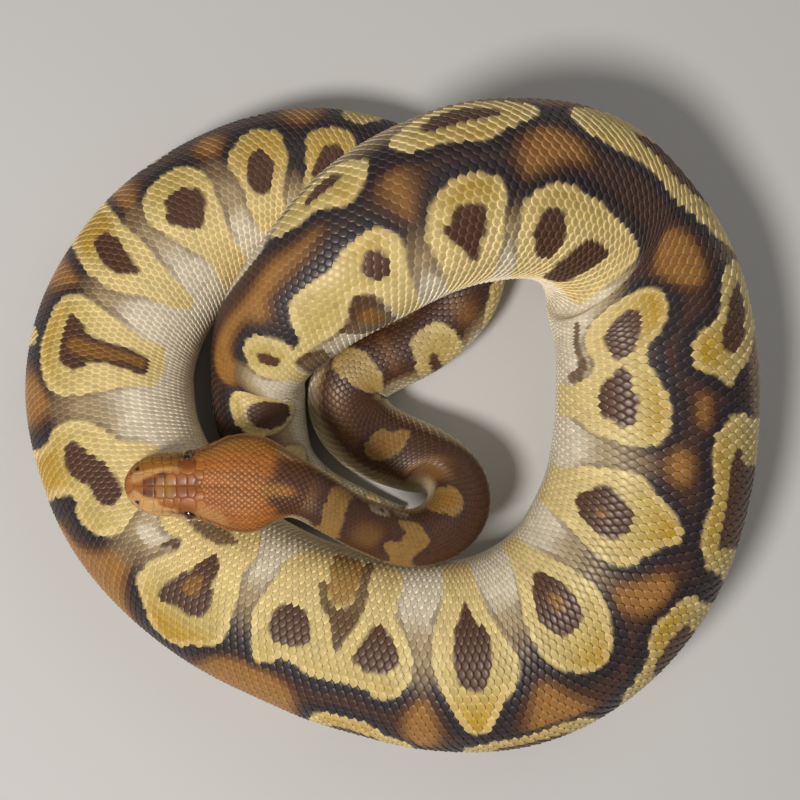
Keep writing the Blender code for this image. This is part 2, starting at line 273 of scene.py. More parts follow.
    def tabulate(self):
        """Tables at even arcs from the back's midline round to the belly's, for both sides."""
        count = 160
        self.part = np.linspace(-1, 1, 2 * count + 1)
        rows = len(self.s)
        self.angle_normal = normal = self.normals(self.by_angle)
        self.place = np.empty((rows, len(self.part), 3))
        self.normal = np.empty_like(self.place)
        self.angle = np.empty((rows, len(self.part)))
        self.half_girth = np.empty((rows, 2))
        self.edge = np.empty((rows, 2))  # the arc from the back to the belly plates
        turned = np.linspace(-180, 180, 361)
        for i in range(rows):
            angle = self.back[i] + turned
            ring = self.look_up(self.by_angle[i], angle)
            arc = distances(ring)
            arc -= arc[180]
            even = np.where(self.part < 0, -self.part * arc[0], self.part * arc[-1])
            at = np.interp(even, arc, turned)
            self.angle[i] = self.back[i] + at
            self.place[i] = self.look_up(self.by_angle[i], self.angle[i])
            self.normal[i] = self.look_up(normal[i], self.angle[i])
            self.half_girth[i] = -arc[0], arc[-1]
            vent = self.vent[i] - self.back[i]
            low = np.interp(vent + SCUTE_HALF_ANGLE - 360, turned, arc)
            high = np.interp(vent - SCUTE_HALF_ANGLE, turned, arc)
            self.edge[i] = -low, high
        self.normal = unit(self.normal)
        self.stretch = np.linalg.norm(np.gradient(self.place, axis=0), axis=2) / np.gradient(self.s)[:, None]

    def look_up(self, values, angle):
        """A ring's values at angles round it."""
        angle = np.mod(angle, 360)
        k = np.minimum(angle.astype(int), 359)
        w = (angle - k)[:, None]
        return values[k] * (1 - w) + values[k + 1] * w

    def crown_stretch(self, s):
        """How much longer the back is than the line under it, where the body pitches up or down."""
        middle = len(self.part) // 2
        near = slice(middle - 40, middle + 41, 10)
        return np.interp(s, self.s, np.median(self.stretch[:, near], axis=1))

    def row(self, s):
        """Which station, as a fraction, a distance from the snout falls on."""
        return np.clip(np.interp(s, self.s, np.arange(len(self.s))), 0, len(self.s) - 1.001)

    def value(self, name, s):
        return np.interp(s, self.s, getattr(self, name))

    def sample(self, table, s, column, last):
        """A table's values between its stations and columns."""
        r = self.row(s)
        c = np.clip(column, 0, last - 0.001)
        i, j = r.astype(int), c.astype(int)
        a, b = r - i, c - j
        if table.ndim == 3:
            a, b = a[..., None], b[..., None]
        top = table[i, j] * (1 - b) + table[i, j + 1] * b
        low = table[i + 1, j] * (1 - b) + table[i + 1, j + 1] * b
        return top * (1 - a) + low * a

    def column(self, s, arc):
        """Which column of the even tables an arc from the back's midline falls on."""
        left = np.interp(s, self.s, self.half_girth[:, 0])
        right = np.interp(s, self.s, self.half_girth[:, 1])
        part = np.clip(np.where(arc < 0, arc / left, arc / right), -1, 1)
        return (part + 1) / 2 * (len(self.part) - 1)

    def at_arc(self, name, s, arc):
        return self.sample(getattr(self, name), s, self.column(s, arc), len(self.part) - 1)

    def arc_of_rise(self, s, rise, sign):
        """The arc of a point on the head's side at a height over its widest level."""
        top, bottom = self.value("top", s), self.value("bottom", s)
        share = np.clip(np.where(rise > 0, rise / top, -rise / bottom), 0, 0.999)
        angle = np.degrees(np.arcsin(share ** (1 / self.value("boxy", s))))
        angle = np.where(rise > 0, angle, -angle)
        angle = np.where(sign < 0, angle, 180 - angle)
        r = np.round(self.row(s)).astype(int)
        return np.array([self.arc_at(i, a) for i, a in zip(np.atleast_1d(r), np.atleast_1d(angle))])

    def arc_at(self, i, angle):
        """The arc from the back's midline to an angle, at one station."""
        part = np.interp(angle, self.angle[i], self.part)
        return part * self.half_girth[i, 0 if part < 0 else 1]


def mouth_height(s):
    """The height of the mouth's line along the head: it rises behind the eye and dips at its corner."""
    return 0.15 - 0.35 * bell(s, 9.0, 5.0) + 0.55 * bell(s, 27.0, 7.0) - 0.9 * smooth_step(s, 32, 38.5)


# ---- Markings: outlines of (distance from the snout in mm, angle round the section) pairs ----


def oval(middle, turn, half_length, half_height, lean=0.0):
    """A plain round mark."""
    points = []
    for k in range(10):
        cos, sin = math.cos(2 * math.pi * k / 10), math.sin(2 * math.pi * k / 10)
        points.append((middle + half_length * cos + lean * sin, turn + half_height * sin))
    return tuple(points)


BLOTCHES = (
    ((68, 20), (66, 34), (66.5, 48), (65.5, 64), (64, 80), (63.5, 100), (63, 118), (64, 136), (66, 152),
     (71, 150), (70, 130), (70, 108), (71.3, 88), (72, 66), (73.3, 48), (73.5, 34), (73, 20)),
    ((94, 16), (93.5, 40), (90, 57), (86.8, 73), (88, 83), (92.5, 88), (93.8, 100), (93, 113), (90.5, 124),
     (90, 136), (98, 132), (100.5, 114), (102.5, 100), (103.2, 84), (100.5, 71), (99.7, 50), (102, 16)),
    ((116, 98), (112.5, 107), (110.5, 122), (107, 138), (105, 156), (106, 172), (117, 172), (119, 150),
     (121, 126), (120.5, 108), (118.5, 99)),
    ((155.5, 53), (153.6, 68), (154, 86), (157, 98), (162, 110), (166, 116.5), (170, 111), (171.6, 98),
     (170, 76), (168, 68), (163.5, 67), (160, 57)),
    ((196, 34), (193.5, 48), (194, 70), (195.5, 92), (196, 114), (198, 127), (200.3, 136), (203.5, 124),
     (206, 104), (206.8, 84), (207.6, 66), (206, 50), (203, 36)),
    ((221, -8), (219.2, 40), (220.5, 66), (221.5, 87), (225, 96), (229, 97.5), (233.5, 91), (235.6, 76),
     (235.2, 48), (232.5, -8)),
    ((241, -30), (242, 20), (245.5, 38), (250, 49), (254, 45), (256, 20), (255, -30)),
    oval(240, 170, 6, 32), oval(266, 120, 8, 36), oval(280, 20, 8, 38), oval(292, 132, 8, 34),
    ((317, 58), (322, 55), (326, 58), (329, 67), (330, 80), (331, 96), (333, 112), (332, 128), (324, 136),
     (316, 122), (314, 96), (314, 72)),
    ((340, 51), (344, 47), (348, 51.5), (352, 62), (354.6, 74), (353.6, 90), (355, 106), (355.5, 122),
     (353, 140), (349, 160), (344, 150), (342, 130), (341.3, 110), (338.5, 95), (336, 82), (336, 68),
     (337, 57)),
    ((367, 52), (373, 49.5), (378.5, 52), (382.3, 60), (385, 71), (385, 84), (383, 96), (382, 108),
     (380, 122), (381, 140), (382, 160), (368, 160), (366.5, 140), (366, 118), (364, 100), (362.5, 86),
     (362, 72), (364, 60)),
    ((391, -60), (390, 0), (390, 44), (391, 62), (391, 82), (392.5, 100), (394, 118), (396, 136),
     (401, 138), (404, 122), (405.5, 106), (408.5, 92), (409.2, 75), (407.5, 52), (405, 30), (404, 0),
     (404, -60)),
    ((415, 62), (418, 50), (424, 43.5), (431, 42), (437, 47), (442, 56), (444.5, 68), (444, 84),
     (442.5, 100), (441.5, 114), (441, 130), (432, 138), (421, 131), (420.5, 114), (418, 98), (416, 82)),
    ((457, -60), (457.3, 0), (457.2, 44), (453.5, 55), (451.5, 68), (452.5, 82), (456.5, 92), (461.5, 100),
     (464, 112), (469, 124), (477, 122), (482, 108), (486, 92), (489, 78), (488, 66), (484, 56),
     (478, 52.5), (473.5, 57), (471.5, 46), (471.3, 0), (471, -60)),
    ((511, 45), (514.5, 37), (519, 33.5), (523.5, 36), (527, 46), (532, 56), (534.6, 67), (533.5, 82),
     (531, 97), (529, 110), (530, 124), (526, 142), (517, 132), (506, 114), (497, 110), (492, 102),
     (497, 98), (504, 100), (505.5, 94), (502.5, 84), (501.5, 72), (503, 61), (507.5, 53)),
    ((541, 80), (543, 70), (546.5, 62), (550, 66), (554, 73), (560, 70), (567, 68), (574, 71.5), (580, 71),
     (587, 67.5), (592, 72), (595.2, 82), (594.5, 96), (590, 108), (586.5, 120), (587.5, 140), (584, 158),
     (560, 158), (547, 150), (541, 132), (540, 114), (538.5, 98), (539, 88)),
    ((612, 50), (615, 46.5), (618.5, 50), (621, 62), (625, 73), (629.5, 83), (630.5, 95), (628, 106),
     (625, 118), (622.5, 132), (620.5, 150), (619, 172), (606, 172), (604.5, 148), (604, 130),
     (601.5, 114), (601, 98), (603, 84), (607, 70), (610, 58)),
    ((643, 74), (648, 67.5), (652, 65.5), (656, 69), (661, 80), (665, 90), (667.5, 102), (666, 118),
     (664, 132), (660, 150), (658, 172), (648, 172), (645.5, 145), (641.5, 124), (638, 110), (637, 96),
     (639.5, 83)),
    ((685, 87), (689, 82), (691.5, 75.5), (695, 73), (699, 76.5), (703, 87), (708, 96), (711, 106),
     (710.5, 122), (709, 140), (706, 155), (706, 174), (687, 174), (684, 148), (680.5, 130), (678, 114),
     (676.5, 104), (679, 92)),
    ((721, 97), (726, 91), (734, 89.5), (741, 94), (748, 100), (752.5, 102.5), (758, 98.5), (765, 91.5),
     (774, 87.5), (782, 88.5), (787.5, 96), (790, 108), (789, 122), (785, 133), (774, 140), (760, 139),
     (751, 134), (745, 140), (742, 152), (742, 174), (730, 174), (729, 150), (724, 135), (721, 118),
     (720, 106)),
    ((817, 107), (822, 104), (830, 105), (837, 102), (843, 97.5), (849, 95), (854.5, 99), (859, 108),
     (861, 122), (862.5, 138), (861, 158), (860, 180), (824, 180), (824, 150), (822.5, 132), (820, 118)),
    ((864, 91), (868, 86.5), (872, 85), (876, 88), (879, 95), (881, 106), (882, 120), (881.5, 145),
     (880.5, 176), (870, 176), (868.5, 148), (866.5, 128), (865, 112), (863, 100)),
    ((887, 92), (890, 89), (896, 90), (900, 94), (904, 92.5), (910, 91), (914, 94), (916.5, 103),
     (917.5, 119), (921, 122), (925, 128), (925, 134), (916, 135), (911, 139), (906, 134), (902, 126),
     (899, 120), (896.5, 124), (894.5, 135), (894, 176), (889, 176), (887.5, 135), (886, 113),
     (885.5, 101)),
    ((924, 93), (927, 86.5), (929.5, 85.5), (933, 91), (935.5, 102), (935.5, 118), (934, 135), (934, 155),
     (936, 176), (930, 176), (927, 150), (924, 136), (922, 126), (920.5, 118), (921, 108)),
    oval(973, 100, 14, 43), oval(1000, 100, 7, 45), oval(1019, 95, 5, 70), oval(1036, 95, 3, 90),
    ((308, -30), (308, 20), (311, 38), (315, 46), (318.5, 36), (319, 10), (318, -30)),
    oval(342, -30, 10, 44), oval(371, -26, 9, 46),
    ((426, -50), (427, 20), (429, 33), (431.5, 22), (432, -50)), oval(493, -34, 10, 36),
    oval(522, -36, 13, 42), oval(549, -34, 9, 34),
    ((564, -40), (567, 10), (568, 32), (571, 41), (578, 43), (584, 43), (588, 38), (591, 32), (597, 26),
     (599, 0), (598, -40)),
    ((611, -44), (611, 20), (613.5, 31), (619, 37), (629, 39.5), (638, 39), (642, 32), (643.5, 10),
     (644, -44)),
    ((650, -30), (650, 26), (655, 38), (661, 46), (664, 55), (668, 60), (673, 60), (678.5, 56), (681, 48),
     (681, 36), (680, -30)),
    ((690, -28), (689, 40), (690.5, 52), (695, 60), (702, 62.5), (710, 62), (716, 65), (722, 67),
     (728, 63), (732, 56), (734, 45), (732, 30), (730, -28)),
    ((742, 56), (746, 47), (749, 38), (754, 28), (760, 10), (772, 6), (777, 24), (777.5, 38), (776, 46),
     (772, 53), (765, 59), (761, 68), (758, 76), (753, 79.5), (748, 79), (746, 71), (744, 63)),
    ((778, 8), (784, 32), (791, 42), (799, 49), (808, 57), (818, 62), (828, 64), (837, 63), (841, 56),
     (842, 44), (838, 28), (824, 10), (804, -10), (785, -8)),
    ((848, 40), (849.5, 48), (853, 55), (858, 61), (862, 66.5), (866, 67), (870, 62), (876, 60.5),
     (879, 54), (880, 44), (878, 34), (873, 24), (865, 18), (856, 23), (850, 31)),
    ((884, 45), (884.5, 55), (886, 62), (889, 67.5), (891.5, 65), (893, 59), (896, 54), (901, 51.5),
     (904, 47), (907, 41), (909, 33), (904, 27), (897, 24), (890, 23), (886, 32)),
    oval(940, -28, 10, 30), oval(975, -30, 12, 36), oval(1003, -15, 8, 40),
)
SPOTS = (  # dark marks inside the blotches
    ((319, 76), (321, 73), (324, 75), (325.7, 82), (328, 91), (329.3, 99), (325, 98), (321, 90),
     (318.3, 82)),
    ((344.5, 69), (348, 74), (349.7, 82), (351, 92), (350.3, 100), (347, 103.5), (343.5, 98), (341, 87),
     (342, 76)),
    ((370, 70), (376, 69), (379, 77), (381, 84), (379, 91), (374, 101), (370, 96), (366.5, 87), (367, 78)),
    ((396, 52), (399, 48.5), (401.5, 55), (403.5, 67), (404.6, 76), (403, 84), (400, 92.5), (397.5, 84),
     (395.5, 71), (395, 60)),
    ((421, 65), (424, 61.5), (430, 62), (434.5, 65), (436.6, 71), (436, 79), (434, 85), (433.5, 97),
     (434.7, 106), (436.5, 122), (430, 124), (427, 115), (426, 103), (426, 92), (425, 82), (423, 75)),
    ((458, 68), (460, 61), (465, 59.5), (468.5, 64), (471, 70), (475.5, 72), (479.5, 76), (480.7, 83),
     (478, 90), (472, 89.5), (467, 86.5), (463, 80.5), (459, 75)),
    ((512, 63), (517, 68), (522, 67), (525.2, 75), (525, 84), (522, 92), (521, 102), (517.5, 108.5),
     (514.5, 101), (513, 90), (510.5, 80), (510, 68)),
    ((547, 82), (552, 81), (557, 84), (560, 89), (558, 98), (554, 104.5), (549, 104.5), (545.5, 99),
     (545, 90)),
    ((577, 84), (583, 83), (588, 85), (590.5, 92), (589, 99), (586, 104), (582, 111), (579, 106),
     (576.5, 98), (575, 90)),
    ((610, 83), (613, 79), (617, 78), (620, 84), (622, 94), (622.6, 104), (620, 113), (617, 120),
     (614, 130), (612, 121), (609.5, 112), (609, 98)),
    ((646, 93), (651, 91), (656, 93), (659, 99), (659.6, 108), (659, 118), (656, 127), (652, 129),
     (648, 122), (644, 112), (643, 102)),
    ((687, 102), (691, 99.5), (696, 99.5), (699, 104), (702, 112), (704, 119), (701, 127), (697, 134),
     (692, 134), (688, 127), (685, 117), (685, 108)),
    ((727, 112), (730, 108), (736, 107), (740, 111), (746, 112), (749.5, 116), (746, 122), (744, 128),
     (738, 131), (732, 129), (729, 122)),
    ((753, 112), (757, 108), (763, 105), (770, 103), (777, 103), (781, 109), (781, 116), (776, 121),
     (770, 125), (762, 126), (755, 123), (752, 118)),
    ((848, 113), (850, 110), (853, 112), (855, 118), (856.7, 125), (856, 135), (855.5, 143), (853, 150),
     (849.5, 146), (848, 138), (846.5, 128), (847, 119)),
    ((832, 126), (836, 124.5), (840, 126), (842, 132), (844, 140), (846, 150), (847, 160), (846, 178),
     (839, 178), (837, 158), (835, 148), (834, 138), (832, 131)),
    ((870, 104), (872, 101), (875, 101), (877.5, 107), (878.7, 115), (878, 122), (876.5, 130), (876, 138),
     (874.5, 142), (873, 132), (871, 122), (869.5, 113)),
    ((889, 104), (891, 99.5), (893, 102), (894.2, 109), (893, 118), (891, 121.5), (889, 114)),
    ((927, 104), (929, 100.5), (930.7, 106), (930.5, 115), (929, 122), (927, 124.5), (925.5, 118),
     (926, 110)),
    oval(976, 107, 8.6, 28),
    ((574, -32), (573.5, 12), (577, 25), (585, 22), (589, 8), (589, -32)),
    ((620, -40), (619, 18), (622.5, 26), (632, 26), (636, 16), (637, -40)),
    ((660, -20), (660, 28), (664, 39), (669, 43.5), (674, 39), (673.5, 26), (672, -20)),
    ((698, -18), (696, 32), (695, 43), (701, 49), (709, 50), (716, 51.5), (721, 50), (723, 44), (719, 34),
     (717, -18)),
    ((751, 53), (754, 44), (758, 38), (765, 33), (771, 31), (770.5, 42), (766, 50), (760, 57), (753, 61)),
    ((792, 12), (797, 27), (805, 36), (814, 44), (823, 45), (827, 38), (818, 24), (806, 6), (796, 4)),
    ((856, 42), (859, 35), (864, 30), (869, 29.5), (873, 36), (874.3, 44), (872, 48), (864, 48),
     (858, 46.5)),
    ((889, 38), (891, 32.5), (895, 35), (897.5, 42), (893, 46.5), (889, 45)),
    oval(81.5, 148, 1.5, 6), oval(343, -32, 4, 20), oval(371, -28, 3.6, 22), oval(397, -38, 3.6, 16),
    oval(464, -46, 4, 14), oval(493, -34, 4, 16), oval(523, -38, 5.5, 20),
    ((223.5, -5), (224, 50), (225.5, 60), (227, 52), (226.5, -5)),
)
NOTCHES = (  # dark wedges that cut in between and below the blotches
    ((569, 88), (571, 96), (573.8, 108), (575, 120), (574, 138), (573.5, 158), (569.5, 158), (570, 132),
     (568.5, 117), (564, 113), (561, 119), (558.5, 129), (555.3, 127), (558, 116), (562, 106.5),
     (565.5, 100), (566.5, 92)),
    ((896, 125), (899, 119.5), (902, 124), (904, 134), (909, 138), (908, 150), (902, 176), (896, 176),
     (895, 140)),
    ((919, 137), (922, 133), (925, 137), (926, 150), (930, 176), (920, 176), (917, 150)),
    ((501, 112), (506, 111), (514, 114), (521, 124), (513, 128), (504, 121)),
    ((743, 156), (744, 146), (749, 140), (758, 142), (775, 144.5), (788, 144), (790, 149), (776, 151),
     (758, 149), (750, 147), (747, 158)),
    ((500, 91), (502.5, 92), (505.5, 97), (504, 101), (501, 98)),
)
CORES = (  # warm centres of some dark marks
    ((427.5, 70), (431.5, 71), (432.3, 90), (431.5, 108), (433.5, 119), (429.5, 120), (428.5, 108),
     (427.7, 90)),
    ((514.5, 80), (519, 79), (520, 86), (518, 92), (515, 89)),
    ((650, 103), (655, 103), (656, 111), (651, 113)), ((690.5, 114), (694, 113), (694, 120), (691, 120)),
    ((114, 119), (118, 122), (116, 142), (112, 138)),
    ((157, 80), (164, 76), (168.5, 90), (168, 106), (161, 98)),
    ((564, 115), (569, 119), (570, 132), (569, 158), (558, 158), (558.5, 130), (561, 120)),
    ((898, 136), (902, 137), (901, 156), (897.5, 156)),
)
RUST = (  # warm patches along the back
    oval(330, 24, 6, 28), oval(357, 44, 5, 17), oval(385, 24, 5, 40), oval(412.5, 22, 5, 38),
    oval(444.5, 22, 7.5, 42),
    ((478, -20), (477, 22), (484, 34), (489, 50), (492, 74), (499, 76), (501, 56), (506, 34), (510, 16),
     (508, -20)),
    ((530, -10), (531, 30), (535, 52), (547, 60), (559, 54), (563, 36), (562, -10)),
    ((597, 26), (594, 44), (594.5, 62), (600, 74), (604, 62), (606, 44), (604, 26)),
    ((628, 42), (627.5, 56), (632, 74), (637, 75), (641, 62), (645, 46), (643, 39)),
    ((668, 72), (666, 86), (671, 93), (677, 86), (684, 74), (682, 64), (675, 64)),
    ((710, 78), (710, 87), (716, 92), (722, 86), (720, 77), (714, 75)),
    ((728, 70), (731, 78), (739, 77), (738, 69)),
    ((776, 66), (782, 58), (792, 58), (801, 66), (806, 76), (803, 84), (793, 90), (785, 86), (778, 76)),
    ((841, 70), (845, 60), (850, 58), (855, 68), (858, 80), (857, 92), (852, 90), (846, 84), (841, 82)),
    ((879, 70), (882, 64), (885, 70), (884.5, 92), (882, 100), (880, 90)),
    ((896, 68), (904, 62), (912, 54), (922, 58), (932, 52), (944, 46), (956, 42), (960, 66), (950, 88),
     (940, 92), (936, 78), (926, 76), (922, 88), (918, 88), (915, 79), (903, 78)),
    ((172, 98), (176, 90), (192, 92), (194, 108), (192, 117), (174, 118)),
    oval(130, 140, 8, 42, -3), oval(139, 108, 7, 26, 3), oval(80, 78, 6, 34), oval(59, 88, 3.5, 34),
    oval(242, 74, 4.5, 28), oval(213, 88, 2.6, 30),
    ((286, 88), (291, 82), (300, 86), (303, 104), (300, 118), (291, 120), (287, 106)),
)
PALE = (  # pale patches on the flanks
    oval(61, 30, 4.2, 5.5), oval(71, 16, 4, 14), oval(100, 16, 5, 12), oval(153, 149, 7, 10),
    oval(167, 147, 8, 10), oval(187, 152, 4.5, 15), oval(208, 32, 7, 10), oval(81, 147, 4.4, 15),
    oval(91.5, 152, 3.6, 12),
    ((490, 88), (493, 84), (498, 85), (500, 92), (504, 99), (497, 97)),
    oval(917, 27, 13, 9), oval(752, 162, 7, 12),
)
# From the snout; on the inner side, the angles where dark turns to taupe and taupe to pale; on the outer
# side, the same two as degrees off the back's midline. Along the neck, to about 140 mm, the inner side's
# turns lie further round than elsewhere, so more of that side stays dark: painted shade where the neck
# lies close against the coil.
ZONES = np.array((
    (57, 148, 166, 62, 72), (72, 156, 182, 70, 88), (95, 164, 190, 72, 90), (110, 162, 184, 72, 90),
    (130, 168, 188, 68, 86), (142, 150, 170, 62, 78), (152, 132, 146, 62, 78), (172, 130, 142, 66, 84),
    (200, 132, 148, 62, 80), (240, 128, 150, 50, 68), (290, 118, 140, 46, 72), (315, 106, 130, 47, 82),
    (333, 97, 113, 47, 82), (345, 80, 106, 47, 82), (357, 64, 102, 47, 82), (387, 57, 93, 47, 82),
    (411, 60, 86, 47, 82), (448, 60, 92, 47, 82), (495, 68, 94, 47, 82), (535, 77, 104, 47, 82),
    (597, 80, 107, 47, 82), (633, 92, 116, 47, 82), (672, 97, 124, 47, 82), (715, 102, 124, 47, 82),
    (760, 103, 138, 44, 80), (800, 109, 121, 44, 80), (862, 107, 132, 44, 80), (883, 103, 130, 40, 66),
    (920, 126, 142, 34, 52), (938, 90, 107, 50, 80), (975, 96, 125, 50, 80), (1060, 110, 140, 40, 70),
))
HEAD_MARKS = (  # colour, strength, softness in mm and outline, each laid over the ones before
    # The sides differ partly through painted light: at angles over 90 the marks are darker honey, chestnut
    # and stone (painted shade), at the others a brighter tan and cream.
    ("honey", 0.75, 3.0, ((2, 122), (6, 118), (17, 120), (19, 140), (19, 175), (2, 175))),
    ("tan", 0.95, 1.4, ((1.6, -20), (2, 55), (3, 82), (6, 76), (11, 70), (12.5, 57), (16, 49), (18.6, 40),
                        (18.6, -20))),
    ("tan", 0.75, 1.2, ((2, 96), (5, 96), (9, 104), (14, 111), (20, 112), (20, 120), (12, 118), (6, 117),
                        (2, 122))),
    ("chestnut", 1.0, 1.0, ((5.6, 76), (10.6, 75), (11.2, 86), (6.6, 87))),
    ("umber", 0.65, 0.8, ((6.4, 78), (9.6, 76.5), (10, 84.5), (7, 85.5))),
    ("chestnut", 1.0, 1.0, ((5.6, 90.5), (10.6, 89.5), (11.8, 100.5), (7, 99.5))),
    ("umber", 0.55, 0.8, ((6.8, 92), (9.8, 90.5), (10.8, 98), (7.8, 98))),
    ("honey", 0.85, 1.2, ((12, 74), (17, 77), (17, 97), (12, 98), (11.3, 88))),
    ("umber", 0.7, 0.9, ((12.1, 100), (15, 99), (15.3, 109), (12.2, 109))),
    ("chestnut", 0.6, 2.4, ((17.5, 72), (25, 76), (27, 98), (18.5, 98))),
    ("chestnut", 0.45, 2.0, ((19, 26), (24, 24), (24, 60), (19, 62))),
    ("chestnut", 0.75, 1.6, ((19, 115), (25, 116), (25, 136), (19.5, 136))),
    ("tan", 0.45, 4.0, ((25, 26), (27, 22), (35, 30), (34, 58), (26, 60))),
    ("honey", 0.55, 5.0, ((28, 128), (48, 128), (49, 168), (28, 168))),
    ("umber", 0.97, 3.4, ((54, 34), (52.4, 56), (50.6, 64), (50.2, 77), (55, 80), (56, 90), (50, 93),
                          (50.8, 104), (52.8, 140), (66, 150), (66, 34))),
    ("honey", 0.7, 1.4, ((47, 84), (50, 79), (54.5, 78), (55, 90), (50, 91))),
    ("cream", 0.6, 1.6, ((57, 8), (56, 24), (58, 31), (64, 31), (64, 8))),
    ("stone", 0.6, 1.8, ((50.5, 160), (51.2, 144), (53.6, 142), (57, 154), (62, 172), (50.5, 172))),
)


def rounded(outline):
    """A smooth closed curve through an outline's points."""
    p = np.array(outline, float)
    before, after, beyond = (np.roll(p, k, axis=0) for k in (1, -1, -2))
    second, third = 2 * before - 5 * p + 4 * after - beyond, 3 * p - before - 3 * after + beyond
    curve = [p + 0.5 * ((after - before) * t + second * t**2 + third * t**3) for t in (0.0, 0.33, 0.67)]
    return np.stack(curve, axis=1).reshape(-1, 2)


def apart(body, outlines, s, angle, far=9.0):
    """How far each point is from the nearest of some outlines, in mm, negative inside one."""
    nearest = np.full(s.shape, far)
    for outline in outlines:
        ring = rounded(outline)
        degree = math.pi / 360 * np.interp(ring[:, 0].mean(), body.s, body.width)
        ring[:, 1] *= degree
        low, high = ring.min(axis=0) - far, ring.max(axis=0) + far
        arc = angle * degree
        near = np.flatnonzero((s > low[0]) & (s < high[0]) & (arc > low[1]) & (arc < high[1]))
        x, y = s[near], arc[near]
        gap, odd = np.full(len(near), far**2), np.zeros(len(near), bool)
        for (ax, ay), (bx, by) in zip(ring, np.roll(ring, -1, axis=0)):
            dx, dy = bx - ax, by - ay
            t = np.clip(((x - ax) * dx + (y - ay) * dy) / (dx * dx + dy * dy + 1e-9), 0, 1)
            gap = np.minimum(gap, (x - ax - t * dx) ** 2 + (y - ay - t * dy) ** 2)
            if ay != by:
                odd ^= ((ay > y) != (by > y)) & (x < dx * (y - ay) / dy + ax)
        nearest[near] = np.minimum(nearest[near], np.where(odd, -1, 1) * np.sqrt(gap))
    return nearest


def mix(a, b, share):
    """Colours, or a named one, each moved toward b by its own share."""
    a, b = (linear(v) if isinstance(v, str) else v for v in (a, b))
    return a * (1 - share)[:, None] + b * share[:, None]


def ripple(s, angle, length, seed):
    """Smooth irregular waves between -1 and 1."""
    a = np.radians(angle)
    one = np.sin(s / length + 1.7 * np.sin(3 * a + seed) + seed)
    two = np.sin(s / (0.37 * length) + 5 * a + 2.1 * seed)
    three = np.sin(s / (1.9 * length) - 4 * a + 0.7 * seed)
    return (one + 0.7 * two + 0.8 * three) / 2.5


def body_colour(body, s, angle, grain):
    """The colour of each point of the neck, trunk and tail. grain is one random number for each, -1 to 1."""
    back = np.interp(s, body.s, body.back)
    angle = back + np.mod(angle - back + 180, 360) - 180
    off = np.abs(angle - back)
    zone = [np.interp(s, ZONES[:, 0], ZONES[:, k]) for k in range(1, 5)]
    wave = 5 * ripple(s, angle, 9, 1.0)
    taupe = np.where(angle > back, zone[0] - back, zone[2]) + wave
    pale = np.where(angle > back, zone[1] - back, zone[3]) + wave
    front = 1 - smooth_step(s, 225, 300)
    measure = lambda outlines: apart(body, outlines, s, angle) + 0.35 * grain
    inside = lambda outlines, low, high: 1 - smooth_step(measure(outlines), low, high)
    colour = mix("dark", "umber", 0.85 * front)
    blotch = measure(BLOTCHES)
    colour = mix(colour, "spot", 0.55 * (1 - front) * smooth_step(blotch, 3.0, 7.0))
    rust = measure(RUST)
    colour = mix(colour, "umber", 0.6 * (1 - smooth_step(rust, 0, 4)))
    colour = mix(colour, "rust", (1 - smooth_step(rust, -4.2, 1.8)) * (1 - 0.6 * front))
    colour = mix(colour, "taupe", smooth_step(off, taupe - 9, taupe + 6))
    between = (taupe + pale) / 2
    colour = mix(colour, "stone", smooth_step(off, between - 7, between + 7))
    colour = mix(colour, "shell", smooth_step(off, pale - 6, pale + 18))
    patch = mix("shell", "taupe", 0.75 * front)
    colour = mix(colour, patch, 0.85 * inside(PALE, -0.8, 0.8))
    border = (1 - smooth_step(blotch, 0.8, 4.2)) * (1 - smooth_step(off, taupe - 4, taupe + 12))
    colour = mix(colour, mix("dark", "umber", 0.6 * front), 0.75 * border)
    outline = (1 - smooth_step(blotch, 0.6, 2.4)) * (1 - smooth_step(off, pale + 10, pale + 36))
    colour = mix(colour, "taupe", 0.6 * outline * smooth_step(off, taupe, taupe + 10))
    yellow = mix("yellow", "gold", (1 - smooth_step(off, 8, 30)) * smooth_step(s, 330, 400))
    yellow = mix(yellow, "straw", 0.55 * smooth_step(blotch, -3.6, -1.0))
    yellow = mix(yellow, "straw", 0.8 * smooth_step(off, taupe - 6, pale + 10))
    # Duller ochre yellow along the neck: partly the neck's own colour, partly painted shade.
    yellow = mix(yellow, "ochre", 0.9 * (1 - smooth_step(s, 165, 250)))
    yellow = mix(yellow, "gold", 0.7 * bell(s, 333, 26) * (1 - smooth_step(off, 25, 70)))
    yellow = mix(yellow, "cream", smooth_step(off, 108, 132))
    colour = mix(colour, yellow, 1 - smooth_step(blotch, -0.5, 0.4))
    notch = mix("umber", "taupe", 0.55 * smooth_step(off, pale - 5, pale + 15))
    colour = mix(colour, notch, 0.9 * inside(NOTCHES, -0.6, 0.4))
    dark = mix("spot", "umber", 0.5 * smooth_step(off, 60, 95))
    colour = mix(colour, dark, inside(SPOTS, -0.5, 0.4))
    colour = mix(colour, "honey", 0.75 * inside(CORES, -0.8, 0.8))
    colour = mix(colour, "cream", 0.85 * smooth_step(off, 128, 142))
    return colour * (1 + 0.11 * grain + 0.06 * ripple(s, angle, 31, 2.0))[:, None]


